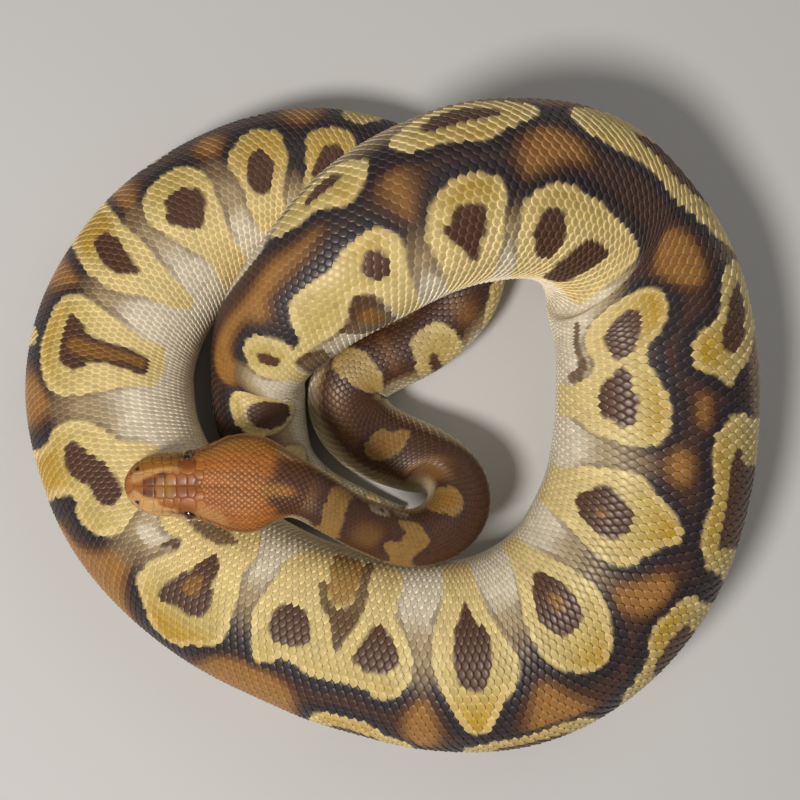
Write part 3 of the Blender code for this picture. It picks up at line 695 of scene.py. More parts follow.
def head_colour(body, s, angle, grain):
    """The head: a warm brown crown, a tan snout with dark marks, a dark line through the eye, pale lips."""
    angle = np.where(angle > 270, angle - 360, angle)
    top, boxy, bottom = (np.interp(s, body.s, v) for v in (body.top, body.boxy, body.bottom))
    sine = np.sin(np.radians(angle))
    rise = np.where(sine > 0, top, -bottom) * np.abs(sine) ** boxy
    colour = np.tile(linear("crown"), (len(s), 1))
    # Lengthwise light and dark streaks over the crown: painted highlights along the rows of small scales and
    # painted shade between them.
    streak = np.sin(angle * 0.93 + 2.5 * np.sin(s / 7)) + 0.6 * np.sin(angle * 0.41 + s / 5)
    colour = colour * (1 + 0.15 * streak * smooth_step(s, 22, 30))[:, None]
    for name, strength, softness, outline in HEAD_MARKS:
        share = 1 - smooth_step(apart(body, (outline,), s, angle), -softness / 2, softness / 2)
        colour = mix(colour, name, strength * share)
    line = bell(rise, 5.4 - 0.05 * (s - 22), 1.1)
    line = line * smooth_step(s, 11, 18) * (1 - 0.6 * smooth_step(s, 36, 50))
    colour = mix(colour, "spot", 0.75 * line * smooth_step(np.abs(angle - 90), 38, 55))
    colour = mix(colour, "tan", 0.8 * (1 - smooth_step(rise, 0.8, 3.0)))
    colour = mix(colour, "cream", smooth_step(-rise, 0.6, 3.6))
    # A dark line along the mouth: painted shade where the lips meet.
    seam = bell(rise, mouth_height(s), 0.36) * (1 - smooth_step(s, 37, 39))
    shade = 1 + 0.08 * grain + 0.04 * ripple(s, angle, 8, 3.0) + 0.08 * ripple(s, angle, 3.1, 5.0)
    return colour * (shade * (1 - 0.85 * seam))[:, None]


def marks(body, s, angle, grain):
    """The colour of any point of the animal, for skin and scales alike."""
    share = smooth_step(s, 57, 61)
    return np.clip(mix(head_colour(body, s, angle, grain), body_colour(body, s, angle, grain), share), 0, 1)


# ---- Making meshes ----
STRIPS = 3  # the unwrap lays the body out in this many strips, one over the other


def unwrap(body, s, turn):
    """A place on the flat map of the skin. turn is 0 to 1 round the section from the belly's midline."""
    share = np.clip(s / body.length, 0, 0.99999) * STRIPS
    strip = np.floor(share)
    return np.stack([0.01 + 0.98 * (share - strip), (strip + 0.03 + 0.94 * turn) / STRIPS], axis=-1)


def add_mesh(name, points, quads, triangles, colour, rim, uv, material):
    """A mesh from arrays of points (mm), four- and three-cornered faces, and per-point colours."""
    mesh = bpy.data.meshes.new(name)
    points = points.copy()
    # Pressed flat where it meets the floor.
    points[:, 2] = np.maximum(points[:, 2], 0.12 * np.tanh(points[:, 2]))
    corners = np.concatenate([quads.ravel(), triangles.ravel()]).astype(np.int32)
    sizes = np.concatenate([np.full(len(quads), 4), np.full(len(triangles), 3)]).astype(np.int32)
    starts = np.concatenate([[0], np.cumsum(sizes)[:-1]]).astype(np.int32)
    mesh.vertices.add(len(points))
    mesh.vertices.foreach_set("co", (points * MM).astype(np.float32).ravel())
    mesh.loops.add(len(corners))
    mesh.loops.foreach_set("vertex_index", corners)
    mesh.polygons.add(len(sizes))
    mesh.polygons.foreach_set("loop_start", starts)
    mesh.update(calc_edges=True)
    mesh.validate()
    paint = mesh.attributes.new("mark", "FLOAT_COLOR", "POINT")
    solid = np.column_stack([colour, np.ones(len(colour))])
    paint.data.foreach_set("color", solid.astype(np.float32).ravel())
    edge = mesh.attributes.new("rim", "FLOAT", "POINT")
    edge.data.foreach_set("value", rim.astype(np.float32))
    layer = mesh.uv_layers.new(name="OFBake")
    flat = uv[corners] if len(uv) == len(points) else uv
    layer.uv.foreach_set("vector", flat.astype(np.float32).ravel())
    mesh.shade_smooth()
    mesh.materials.append(material)
    piece = bpy.data.objects.new(name, mesh)
    bpy.context.scene.collection.objects.link(piece)
    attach(piece, "root")
    return piece


def tube(rows, sides):
    """The four-cornered faces of a tube made of rings of points."""
    i = np.arange(rows - 1)[:, None] * sides
    j = np.arange(sides)[None, :]
    k = (j + 1) % sides
    return np.stack([i + sides + j, i + sides + k, i + k, i + j], axis=-1).reshape(-1, 4)


def skin(body, material):
    """One closed skin from snout to tail, under the scales."""
    rows = np.concatenate([np.arange(0, 2, 0.2), np.arange(2, 60, 0.5), np.arange(60, body.length, 2.0)])
    sides = 144
    turned = np.arange(sides) * 360 / sides
    s = np.repeat(rows, sides)
    angle = np.mod(np.tile(turned, len(rows)) + np.repeat(np.interp(rows, body.s, body.vent), sides), 360)
    points = body.sample(body.by_angle, s, angle, 360)
    colour = marks(body, s, angle, np.zeros(len(s)))
    quads = tube(len(rows), sides)
    ends = len(points)
    tip, tail = points[:sides].mean(0), points[-sides:].mean(0)
    points = np.concatenate([points, [tip, tail]])
    colour = np.concatenate([colour, colour[:1], colour[-1:]])
    ring = np.arange(sides)
    nose = np.stack([np.full(sides, ends), np.roll(ring, -1), ring], axis=-1)[:, ::-1]
    last = len(rows) * sides - sides
    end = np.stack([np.full(sides, ends + 1), last + ring, last + np.roll(ring, -1)], axis=-1)[:, ::-1]
    triangles = np.concatenate([nose, end])
    flat = skin_map(body, rows, sides, quads, triangles)
    return add_mesh("skin", points, quads, triangles, colour, np.zeros(len(points)), flat, material)


def skin_map(body, rows, sides, quads, triangles):
    """The skin's flat map, corner by corner, so that no face straddles two strips or the belly's seam."""
    width = body.length / STRIPS

    def flat(corners):
        row = np.minimum(corners // sides, len(rows) - 1)
        turn = (corners % sides) / sides
        turn = np.where((turn == 0) & (turn.max(axis=1, keepdims=True) > 0.9), 1.0, turn)
        s = rows[row]
        low = np.floor(s.min(axis=1, keepdims=True) / width) * width
        s = np.minimum(s, low + width * 0.9999)
        return unwrap(body, s.ravel(), turn.ravel())

    return np.concatenate([flat(quads), flat(triangles)])


# ---- Scales of the body ----
SCALE_STEPS = np.array((  # distance from the snout, distance between neighbours in one row
    (57, 1.75), (100, 2.0), (130, 2.15), (215, 2.85), (360, 2.85), (400, 2.62), (432, 2.43), (460, 2.46),
    (510, 2.55), (540, 2.8), (575, 3.15), (700, 3.3), (740, 3.25), (800, 3.2), (860, 3.3), (890, 3.3),
    (915, 3.05), (935, 2.75), (965, 2.5), (1000, 2.3), (1030, 1.9), (1050, 1.5),
))


class Lattice:
    """Rows of scales from the nape to the tail's tip, set half a scale off their neighbours."""

    def __init__(self, body):
        s = np.arange(COAT_START, body.length, 0.25)
        width = np.interp(s, body.s, body.right + body.left)
        step = np.interp(s, SCALE_STEPS[:, 0], SCALE_STEPS[:, 1]) / np.clip(body.crown_stretch(s), 0.8, 3)
        count = np.concatenate([[0], np.cumsum(0.25 / step)[:-1]])
        self.s, self.count = s, count
        self.gap = 0.9 + 0.0295 * width  # the rows stand wider apart on a thicker body

    def along(self, count):
        """The distance from the snout of a count along a row."""
        return np.interp(count, self.count, self.s)

    def between(self, s):
        """The distance between neighbouring rows."""
        return np.interp(s, self.s, self.gap)


COAT_START = 58.9  # where the head's own scales give way to the rows of the body
PIECES = (  # name, from and to in mm from the snout, body slot
    ("neck", 0, 125, "neck"), ("trunk_a", 125, 240, "trunk"), ("trunk_b", 240, 345, "trunk"),
    ("trunk_c", 345, 440, "trunk"), ("trunk_d", 440, 530, "trunk"), ("trunk_e", 530, 640, "trunk"),
    ("trunk_f", 640, 760, "trunk"), ("trunk_g", 760, 870, "trunk"), ("trunk_h", 870, 960, "trunk"),
    ("tail", 960, 3000, "tail"),
)
SPOKES = 8
HALF_LONG, HALF_WIDE, SQUARENESS = 0.545, 0.77, 1.62  # a scale's outline, in steps along and across the rows
HALF_STEP = 0.56
LAP = 0.36  # how far a scale's hind end stands over its front end, in mm on a scale of usual size
USUAL_GAP = 2.7
OWN_MARKS = 0.55  # how far a scale's colour follows the markings across it: 0 is one colour, 1 is all of them
PATCH = 0.0015  # half the width of a scale's patch on the flat map
# The pale rim stands partly for thin pale horn and partly for a painted highlight on the scale's edge.
RINGS = (  # share of the outline, height over the skin in mm, how much of the pale rim
    (1.02, -0.42, 1.0), (0.985, 0.17, 1.0), (0.88, 0.28, 0.4), (0.52, 0.33, 0.0),
)
CREST = (0.0, 0.34, 0.0)


def dome_faces(scales, spokes, rings):
    """Faces of closed domes: rings of points, a point in the middle and a floor."""
    per = rings * spokes + 1
    base = (np.arange(scales) * per)[:, None]
    j = np.arange(spokes)[None, :]
    k = (j + 1) % spokes
    quads = []
    for r in range(rings - 1):
        low, high = base + r * spokes, base + (r + 1) * spokes
        quads.append(np.stack([low + j, low + k, high + k, high + j], axis=-1).reshape(-1, 4))
    last = base + (rings - 1) * spokes
    middle = np.broadcast_to(base + rings * spokes, (scales, spokes))
    caps = np.stack([last + j, last + k, middle], axis=-1).reshape(-1, 3)
    fan = np.arange(1, spokes - 1)[None, :]
    floor = np.stack([np.broadcast_to(base, (scales, spokes - 2)), base + fan + 1, base + fan], axis=-1)
    return np.concatenate(quads), np.concatenate([caps, floor.reshape(-1, 3)])


def body_scales(body, lattice):
    """The place of every scale: (count along, row) pairs."""
    counts, rows = [], []
    for row in range(-60, 61):
        count = np.arange(0, lattice.count[-1] - 1) + 0.5 * (row % 2)
        s = lattice.along(count)
        arc = row * lattice.between(s)
        edge = np.interp(s, body.s, body.edge[:, 0 if row < 0 else 1])
        keep = np.abs(arc) < edge - 0.2 * lattice.between(s)
        counts.append(count[keep])
        rows.append(np.full(keep.sum(), row))
    return np.concatenate(counts), np.concatenate(rows)


def rim_pale_and_highlight(colour, rim):
    """A scale's colour toward its rim: paler, partly the thin pale horn there and partly a painted highlight
    where the edge catches the light.
    """
    grey = (colour @ np.array((0.3, 0.6, 0.1)))[..., None] * np.array((1.12, 1.0, 0.82))
    pale = (0.72 * colour + 0.28 * grey) * 1.55 + 0.022 * np.array((1.0, 0.9, 0.75))
    return colour + (pale - colour) * np.reshape(rim, (-1, 1))


def coat(body, lattice, material):
    """Every scale of the neck, trunk and tail, in joined pieces."""
    counts, rows = body_scales(body, lattice)
    order = np.argsort(counts, kind="stable")
    counts, rows = counts[order], rows[order].astype(float)
    s = lattice.along(counts)
    gap = lattice.between(s)
    total = len(counts)
    size = gap / USUAL_GAP
    grain = np.clip(rng.normal(0, 0.5, total), -1, 1)
    arc = rows * gap
    angle = body.at_arc("angle", s, arc)
    squeeze = np.clip(body.at_arc("stretch", s, arc), 0.3, 1.15)
    spoke = np.arange(SPOKES) * 2 * math.pi / SPOKES
    cos, sin = np.cos(spoke), np.sin(spoke)
    power = SQUARENESS
    reach = (np.abs(cos / HALF_LONG) ** power + np.abs(sin / HALF_WIDE) ** power) ** (-1 / power)
    tilt = rng.normal(0, 0.03, (total, 2))
    points, tint, rims, flat = [], [], [], []
    turn = np.mod(angle - np.interp(s, body.s, body.vent), 360) / 360
    root = unwrap(body, s, turn)
    for share, height, rim in RINGS + (CREST,):
        x = share * reach * cos if share else np.zeros(1)
        y = share * reach * sin if share else np.zeros(1)
        c = counts[:, None] + x[None, :]
        r = rows[:, None] + y[None, :]
        sv = lattice.along(c)
        gv = r * lattice.between(sv)
        place = body.at_arc("place", sv, gv)
        normal = body.at_arc("normal", sv, gv)
        lean = LAP * x[None, :] / HALF_STEP + tilt[:, :1] * x[None, :] + tilt[:, 1:] * y[None, :]
        h = (height + lean) * size[:, None] * (0.35 + 0.65 * squeeze[:, None])
        points.append(place + h[..., None] * normal)
        sc = s[:, None] + OWN_MARKS * (sv - s[:, None])
        ac = body.at_arc("angle", sc, arc[:, None] + OWN_MARKS * (gv - arc[:, None]))
        wide = np.broadcast_to(grain[:, None], sc.shape)
        colour = marks(body, sc.ravel(), np.mod(ac, 360).ravel(), wide.ravel())
        # The pale rim: thin horn, and a painted highlight on the edge.
        rim_here = np.broadcast_to(np.clip(rim * (1 + 0.2 * x[None, :] / HALF_STEP), 0, 1), sc.shape)
        tint.append(rim_pale_and_highlight(colour, rim_here).reshape(total, len(x), 3))
        rims.append(np.full((total, len(x)), rim))
        flat.append(root[:, None] + PATCH * np.stack([x / HALF_STEP, y / 0.8], axis=-1)[None])
    points, tint = np.concatenate(points, axis=1), np.concatenate(tint, axis=1)
    rims, flat = np.concatenate(rims, axis=1), np.concatenate(flat, axis=1)
    for name, low, high, slot in PIECES:
        pick = (s >= low) & (s < high)
        quads, triangles = dome_faces(pick.sum(), SPOKES, len(RINGS))
        flatten = lambda v: v[pick].reshape(-1, *v.shape[2:])
        add_mesh("scales_" + name, flatten(points), quads, triangles, flatten(tint), flatten(rims),
                 flatten(flat), material)


SCUTES_START = 46
SCUTE_PROFILE = ((-0.5, -0.15), (0.1, 0.20), (0.57, 0.36), (0.60, 0.02))  # shares of the pitch and the coat


def scutes(body, material):
    """The wide plates under the body, each lapping over the next."""
    pitch = np.interp(body.s, (40, 120, 300, 600, 900, 1050), (2.6, 3.2, 4.2, 4.6, 3.8, 1.6))
    count = np.concatenate([[0], np.cumsum(np.diff(body.s) / pitch[:-1])])
    at = np.arange(np.interp(SCUTES_START, body.s, count), count[-1] - 0.7)
    across = np.linspace(-1, 1, 13)
    along, height = np.array(SCUTE_PROFILE).T
    c = at[:, None, None] + along[None, :, None] * (1 - 0.12 * across[None, None, :] ** 4)
    s = np.interp(c, count, body.s)
    angle = np.interp(s, body.s, body.vent) + across[None, None, :] * (SCUTE_HALF_ANGLE + 1.5)
    column = np.mod(angle, 360)
    place = body.sample(body.by_angle, s, column, 360)
    normal = unit(body.sample(body.angle_normal, s, column, 360))
    depth = np.interp(s, body.s, body.depth)
    edge = 1 - np.abs(across[None, None, :]) ** 6
    top = place + ((height[None, :, None] * 1.4 * edge - 0.12) * depth)[..., None] * normal
    low = place - 0.4 * normal
    rows, cols = len(along), len(across)
    points = np.stack([top, low], axis=1).reshape(-1, 3)
    per = rows * cols
    base = (np.arange(len(at)) * 2 * per)[:, None, None]
    up = base + np.arange(rows - 1)[None, :, None] * cols + np.arange(cols - 1)[None, None, :]
    sheet_up = np.stack([up, up + 1, up + cols + 1, up + cols], axis=-1).reshape(-1, 4)
    down = up + per
    sheet_low = np.stack([down, down + cols, down + cols + 1, down + 1], axis=-1).reshape(-1, 4)
    grid = np.arange(per).reshape(rows, cols)
    rim = np.concatenate([grid[0], grid[1:, -1], grid[-1, -2::-1], grid[-2:0:-1, 0]])
    after = np.roll(rim, -1)
    flat_base = (np.arange(len(at)) * 2 * per)[:, None]
    near, far = flat_base + after, flat_base + rim
    wall = np.stack([near, far, far + per, near + per], axis=-1)
    quads = np.concatenate([sheet_up, sheet_low, wall.reshape(-1, 4)])[:, ::-1]
    grain = np.repeat(rng.normal(0, 0.4, len(at)), 2 * per)
    sv = np.stack([s, s], axis=1).reshape(-1)
    av = np.mod(np.stack([angle, angle], axis=1).reshape(-1), 360)
    shade = smooth_step(ripple(sv, av, 5, 9.0), 0.55, 0.9) * smooth_step(sv, 80, 140)
    colour = mix("cream", "taupe", 0.35 * shade)
    colour = np.clip(colour * (1 + 0.05 * grain)[:, None], 0, 1)
    root = unwrap(body, np.interp(at, count, body.s), np.full(len(at), 0.006))
    x = np.broadcast_to(along[None, None, :, None] / 0.6, (len(at), 2, rows, cols))
    y = np.broadcast_to(across[None, None, None, :], (len(at), 2, rows, cols))
    flat = root[:, None, None, None] + PATCH * np.stack([x, y], axis=-1)
    add_mesh("scutes", points, quads, np.empty((0, 3), int), colour, np.zeros(len(points)),
             flat.reshape(-1, 2), material)


# ---- Scales of the head ----
PLAIN, NOSTRIL, PIT = 0, 1, 2
SHIELDS = (  # distance from the snout, arc from the midline, size, form; each one is there on both sides
    (4.3, 1.9, 1.9, PLAIN), (4.1, 5.7, 1.9, NOSTRIL), (8.3, 2.2, 2.2, PLAIN), (8.0, 6.5, 1.8, PLAIN),
    (7.6, 9.9, 1.4, PLAIN), (12.4, 2.0, 1.9, PLAIN), (12.0, 5.9, 1.7, PLAIN), (11.4, 9.2, 1.4, PLAIN),
    (11.0, 12.0, 1.2, PLAIN), (16.4, 2.0, 2.0, PLAIN), (15.6, 5.8, 1.6, PLAIN), (14.8, 9.0, 1.3, PLAIN),
    (14.5, 11.8, 1.1, PLAIN), (20.4, 1.9, 1.8, PLAIN), (22.2, 6.6, 2.6, PLAIN), (18.2, 8.9, 1.3, PLAIN),
    (23.8, 1.7, 1.4, PLAIN), (17.8, 11.6, 1.1, PLAIN), (27.4, 6.6, 1.3, PLAIN), (26.9, 3.4, 1.3, PLAIN),
)
UPPER_LIPS, LOWER_LIPS, PITTED_LIPS = 10, 15, 4
MOUTH_END = 38.0
SMALL = 1.2  # seeds under this size are small body-like scales, the others are plates
HEAD_END = 61.0
EYE_RADIUS = 2.45
EYE_RING = 11  # small scales round each eye


def head_seeds(body, eyes):
    """Where each head scale sits: distance from the snout, arc from the midline, size and form."""
    s, arc, size, form, slope = [], [], [], [], []

    def put(at, where, big, kind, lean=0.0):
        for row, value in zip((s, arc, size, form, slope), (at, where, big, kind, lean)):
            row.append(value)

    def lips(count, height, sign, big, pits):
        at = 2.2 + (MOUTH_END - 2.8) * (np.arange(count) + 0.15) / count
        nearby = (at - 0.6, at, at + 0.6)
        before, where, after = (body.arc_of_rise(v, mouth_height(v) + height, sign) for v in nearby)
        for k in range(count):
            put(at[k], where[k], big, PIT if k < pits else PLAIN, (after[k] - before[k]) / 1.2)

    put(0.8, 0.0, 2.2, PLAIN)
    put(0.8, body.half_girth[8, 1] * 0.995, 1.6, PLAIN)
    for at, where, big, kind in SHIELDS:
        for sign in (-1, 1):
            put(at, sign * where, big, kind)
    for sign in (-1, 1):
        lips(UPPER_LIPS, 1.5, sign, 2.0, PITTED_LIPS)
        lips(LOWER_LIPS, -1.2, sign, 1.6, 0)
    for eye in eyes:
        for k in range(EYE_RING):
            turn = 2 * math.pi * k / EYE_RING
            put(eye[0] + 3.25 * math.cos(turn), eye[1] + 3.15 * math.sin(turn), 0.8, PLAIN)
    shields = tuple(np.array(v) for v in (s, arc, size))
    for at, where, big in small_head_seeds(body, *shields, eyes):
        put(at, where, big, PLAIN)
    return tuple(np.array(v) for v in (s, arc, size, form, slope))


def small_head_seeds(body, s, arc, size, eyes):
    """Rows of small long scales over the crown, cheeks and throat, leaving out what the shields cover."""
    found, at, n = [], 1.0, 0
    while at < HEAD_END:
        step = 1.6 + 0.75 * smooth_step(at, 18, 44) - 0.25 * smooth_step(at, 50, 60)
        i = int(round(float(body.row(at))))
        gap = max(0.031 * (body.right[i] + body.left[i]), 0.4 * step) * (1 + 0.5 * smooth_step(at, 48, 60))
        for row in range(-60, 61):
            where = row * gap
            if (row + n) % 2 or not -body.half_girth[i, 0] + 0.2 < where < body.half_girth[i, 1] - 0.2:
                continue
            a, b = at + rng.normal(0, 0.07), where + rng.normal(0, 0.05)
            near = np.hypot(s - a, arc - b) < size * np.where(size > SMALL, 1.3, 0.95) + 0.5
            lip = abs(rise_of(body, i, b) - mouth_height(at)) < 0.8 and at < MOUTH_END
            if near.any() or lip or any(math.hypot(e[0] - a, e[1] - b) < 3.1 for e in eyes):
                continue
            found.append((a, b, step * 0.5))
        at += 0.5 * step / float(np.clip(body.crown_stretch(at), 0.75, 2.5))
        n += 1
    return found


def rise_of(body, i, arc):
    """How high a point stands over the head's widest level, at one station."""
    part = arc / body.half_girth[i, 0 if arc < 0 else 1]
    angle = np.interp(part, body.part, body.angle[i])
    sine = math.sin(math.radians(angle))
    reach = body.top[i] if sine > 0 else body.bottom[i]
    return math.copysign(reach * abs(sine) ** body.boxy[i], sine)


# Points round the outline, how square the cell's corners are, rings as in RINGS and the crest's height.
FINE = (8, 9, ((1.0, -0.25, 1.0), (0.975, 0.08, 0.6), (0.82, 0.15, 0.15)), 0.18)
PLATE = (24, 30, (
    (1.0, -0.30, 1.0), (0.985, 0.04, 0.9), (0.955, 0.10, 0.3), (0.88, 0.14, 0.0), (0.5, 0.16, 0.0),
    (0.24, 0.165, 0.0),
), 0.165)
# For small scales and for plates: how far they rise to the hind end, how far their colour follows the
# markings and how pale the rim is (pale horn, partly painted highlight).
FINE_LOOK, PLATE_LOOK = (0.10, 0.6, 0.45), (0.04, 0.95, 0.25)
PIT_FLOOR = 0.05


def cell_walls(s, arc, size, slope, stretch, eyes):
    """From each head scale to the others and the eyes: along, across, distance, where their wall is."""
    total = len(s)
    ball = np.array([[e[0], e[1]] for e in eyes])
    ds = np.concatenate([s, ball[:, 0]])[None, :] - s[:, None]
    dg = np.concatenate([arc, ball[:, 1]])[None, :] - arc[:, None] - slope[:, None] * ds
    ds = ds * stretch[:, None]
    gap = np.hypot(ds, dg)
    gap[np.arange(total), np.arange(total)] = 1e6
    both = np.concatenate([size, [0, 0]])
    wall = (gap**2 + size[:, None] ** 2 - both[None, :] ** 2) / (2 * gap)
    wall[:, total:] = gap[:, total:] - EYE_RADIUS
    return ds, dg, gap, np.maximum(wall, 0.25)


def head_scales(body, eyes, material):
    """Each head scale fills the cell between its neighbours, with a groove all round."""
    s, arc, size, form, slope = head_seeds(body, eyes)
    total = len(s)
    stretch = np.clip(body.at_arc("stretch", s, arc), 0.8, 2.6)
    ds, dg, gap, wall = cell_walls(s, arc, size, slope, stretch, eyes)
    rows = np.round(body.row(s)).astype(int)
    rise = np.array([rise_of(body, i, b) for i, b in zip(rows, arc)])
    mouth_gap = np.where(s < MOUTH_END + 0.4, np.abs(rise - mouth_height(s)), 9.0)
    toward = np.where(rise > mouth_height(s), 1, -1) * np.where(arc < 0, -1, 1)
    grain = np.clip(rng.normal(0, 0.5, total), -1, 1)
    angle = np.mod(body.at_arc("angle", s, arc), 360)
    root = unwrap(body, s, np.mod(angle - np.interp(s, body.s, body.vent), 360) / 360)
    whole = [[] for _ in range(6)]
    first = 0
    kinds = (((size < SMALL) & (s < HEAD_END - 1.6), FINE, FINE_LOOK), (size >= SMALL, PLATE, PLATE_LOOK))
    for pick, (spokes, power, rings, crest), (lean, own_marks, paleness) in kinds:
        plates = rings is PLATE[2]
        spoke = np.arange(spokes) * 2 * math.pi / spokes
        cos, sin = np.cos(spoke), np.sin(spoke)
        n, stretched = pick.sum(), stretch[pick][:, None]
        facing = np.maximum((ds[pick][..., None] * cos + dg[pick][..., None] * sin) / gap[pick][..., None], 0)
        walls = ((facing / wall[pick][..., None]) ** power).sum(axis=1)
        room = np.maximum(mouth_gap[pick] - 0.30, 0.25)[:, None]
        lips = (np.maximum(toward[pick][:, None] * sin, 0) / room) ** power
        limit = (1 / (size[pick] * 1.7 + 0.5))[:, None] ** power
        reach = (walls + lips + limit) ** (-1 / power) - 0.035
        if not plates:
            reach = reach + 0.02 + 0.12 * cos**2  # lapping over the next in the row
        bulk = np.clip(size[pick] / SMALL, 0.6, 1.15)[:, None]
        shape = form[pick][:, None]
        parts = [[] for _ in range(4)]
        for share, height, rim in rings + ((0.0, crest, 0.0),):
            x = share * reach * cos if share else np.zeros((n, 1))
            y = share * reach * sin if share else np.zeros((n, 1))
            sv = np.clip(s[pick][:, None] + x / stretched, 0.02, body.length)
            gv = arc[pick][:, None] + y + slope[pick][:, None] * x / stretched
            h = height * bulk + lean * x / 1.2
            sc = s[pick][:, None] + own_marks * (sv - s[pick][:, None])
            gc = arc[pick][:, None] + own_marks * (gv - arc[pick][:, None])
            ac = np.mod(body.at_arc("angle", sc, gc), 360)
            wide = np.broadcast_to(grain[pick][:, None], sc.shape)
            c = marks(body, sc.ravel(), ac.ravel(), wide.ravel())
            c = rim_pale_and_highlight(c, np.full(len(c), paleness * rim)).reshape(n, x.shape[1], 3)
            # Nostril and heat-pit hollows get a near-black floor and darker walls: painted shade inside the
            # openings.
            if share < 0.3 and plates:
                h = np.where(shape != PLAIN, PIT_FLOOR, h)
                c = np.where((shape != PLAIN)[..., None], linear("dark") * 0.35, c)
            elif share < 0.6:
                c = np.where((shape != PLAIN)[..., None], c * 0.8, c)
            parts[0].append(body.at_arc("place", sv, gv) + h[..., None] * body.at_arc("normal", sv, gv))
            parts[1].append(c)
            parts[2].append(np.full(x.shape, rim))
            swell = np.stack([x, y], axis=-1) / np.maximum(reach.max(axis=1), 0.1)[:, None, None]
            parts[3].append(root[pick][:, None] + PATCH * swell)
        for k in range(4):
            joined = np.concatenate(parts[k], axis=1)
            whole[k].append(joined.reshape(-1, *joined.shape[2:]))
        quads, triangles = dome_faces(n, spokes, len(rings))
        whole[4].append(quads + first)
        whole[5].append(triangles + first)
        first += n * (spokes * len(rings) + 1)
    points, tint, rims, flat, quads, triangles = (np.concatenate(w) for w in whole)
    add_mesh("scales_head", points, quads, triangles, tint, rims, flat, material)


def eye_places(body):
    """Each eye's middle, in body coordinates: distance from the snout and arc from the crown's midline."""
    found = []
    for name in ("eye_left", "eye_right"):
        low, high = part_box(name)
        middle = (np.array(low) + np.array(high)) / 2 / MM
        near = body.s < 40
        gap = np.linalg.norm(body.place[near] - middle, axis=2)
        i, j = np.unravel_index(gap.argmin(), gap.shape)
        arc = body.part[j] * body.half_girth[i, 0 if body.part[j] < 0 else 1]
        found.append((body.s[i], arc, middle, name))
    return found


def eyeball(body, place, material):
    """A glossy ball with a dark iris and an upright slit of a pupil, facing out of the head's side."""
    s, _, middle, name = place
    i = int(round(float(body.row(s))))
    sign = 1 if name == "eye_left" else -1
    out = unit(body.side[i] * sign + 0.30 * body.up[i] - 0.16 * body.ahead[i])
    up = unit(np.cross(np.cross(out, body.up[i]), out))
    fore = np.cross(up, out)
    rings, spokes = 40, 64
    t = np.linspace(0, math.pi, rings + 1)[1:-1]
    p = np.arange(spokes) * 2 * math.pi / spokes
    x = np.sin(t)[:, None] * np.cos(p)
    y = np.sin(t)[:, None] * np.sin(p)
    z = np.broadcast_to(np.cos(t)[:, None], x.shape)
    local = np.stack([x, y, z], axis=-1).reshape(-1, 3)
    local = np.concatenate([local, [[0, 0, 1], [0, 0, -1]]])
    bulge = 1 + 0.05 * smooth_step(local[:, 2], 0.6, 1)
    turned = local[:, :1] * fore + local[:, 1:2] * up + local[:, 2:] * out
    points = middle + EYE_RADIUS * bulge[:, None] * turned
    around = np.arctan2(local[:, 1], local[:, 0])
    off = np.hypot(local[:, 0], local[:, 1])
    streak = 0.5 + 0.5 * np.sin(23 * around + 3 * np.sin(7 * around))
    iris = linear("umber") * 0.8 + streak[:, None] * linear("rust") * 0.35
    slit = np.hypot(local[:, 0] / 0.20, local[:, 1] / 0.66)
    pupil = 1 - smooth_step(slit, 0.85, 1.05)
    dark = np.full(3, 0.004)
    colour = mix(iris, dark, pupil)
    colour = mix(colour, dark * 1.5, smooth_step(off, 0.74, 0.86) + (local[:, 2] < 0) * (off < 0.86))
    quads = np.roll(tube(rings - 1, spokes), 1, axis=1)
    ring = np.arange(spokes)
    last = (rings - 2) * spokes
    north, south = len(local) - 2, len(local) - 1
    caps = np.concatenate([
        np.stack([np.full(spokes, north), ring, np.roll(ring, -1)], axis=-1),
        np.stack([np.full(spokes, south), last + np.roll(ring, -1), last + ring], axis=-1),
    ])
    uv = 0.5 + 0.45 * local[:, :2]
    colour = np.clip(colour, 0, 1)
    ball = add_mesh(name + "_ball", points, quads, caps, colour, np.zeros(len(points)), uv, material)
    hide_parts(name)


# ---- Materials ----


class Look:
    """A material, and the few kinds of node that it is made of."""

    def __init__(self, name, **fixed):
        self.material = bpy.data.materials.new(name)
        self.material.use_nodes = True
        self.nodes, self.links = self.material.node_tree.nodes, self.material.node_tree.links
        self.shader = self.nodes["Principled BSDF"]
        self.where = self.nodes.new("ShaderNodeTexCoord").outputs["Object"]
        for socket, value in fixed.items():
            self.shader.inputs[socket.replace("_", " ")].default_value = value

    def attribute(self, name, output):
        node = self.nodes.new("ShaderNodeAttribute")
        node.attribute_name = name
        return node.outputs[output]

    def noise(self, scale, detail=3.0):
        node = self.nodes.new("ShaderNodeTexNoise")
        node.inputs["Scale"].default_value = scale
        node.inputs["Detail"].default_value = detail
        self.links.new(self.where, node.inputs["Vector"])
        return node.outputs["Fac"]

    def noise_between(self, scale, low, high):
        node = self.nodes.new("ShaderNodeMapRange")
        node.inputs["To Min"].default_value = low
        node.inputs["To Max"].default_value = high
        self.links.new(self.noise(scale), node.inputs["Value"])
        return node.outputs["Result"]

    def paint(self, scale, low, high):
        """The markings, made a little darker and lighter by a fine noise."""
        node = self.nodes.new("ShaderNodeVectorMath")
        node.operation = "SCALE"
        self.links.new(self.attribute("mark", "Color"), node.inputs[0])
        self.links.new(self.noise_between(scale, low, high), node.inputs["Scale"])
        self.links.new(node.outputs["Vector"], self.shader.inputs["Base Color"])

    def bump(self, scale, strength, distance):
        node = self.nodes.new("ShaderNodeBump")
        node.inputs["Strength"].default_value = strength
        node.inputs["Distance"].default_value = distance
        self.links.new(self.noise(scale, 4.0), node.inputs["Height"])
        self.links.new(node.outputs["Normal"], self.shader.inputs["Normal"])


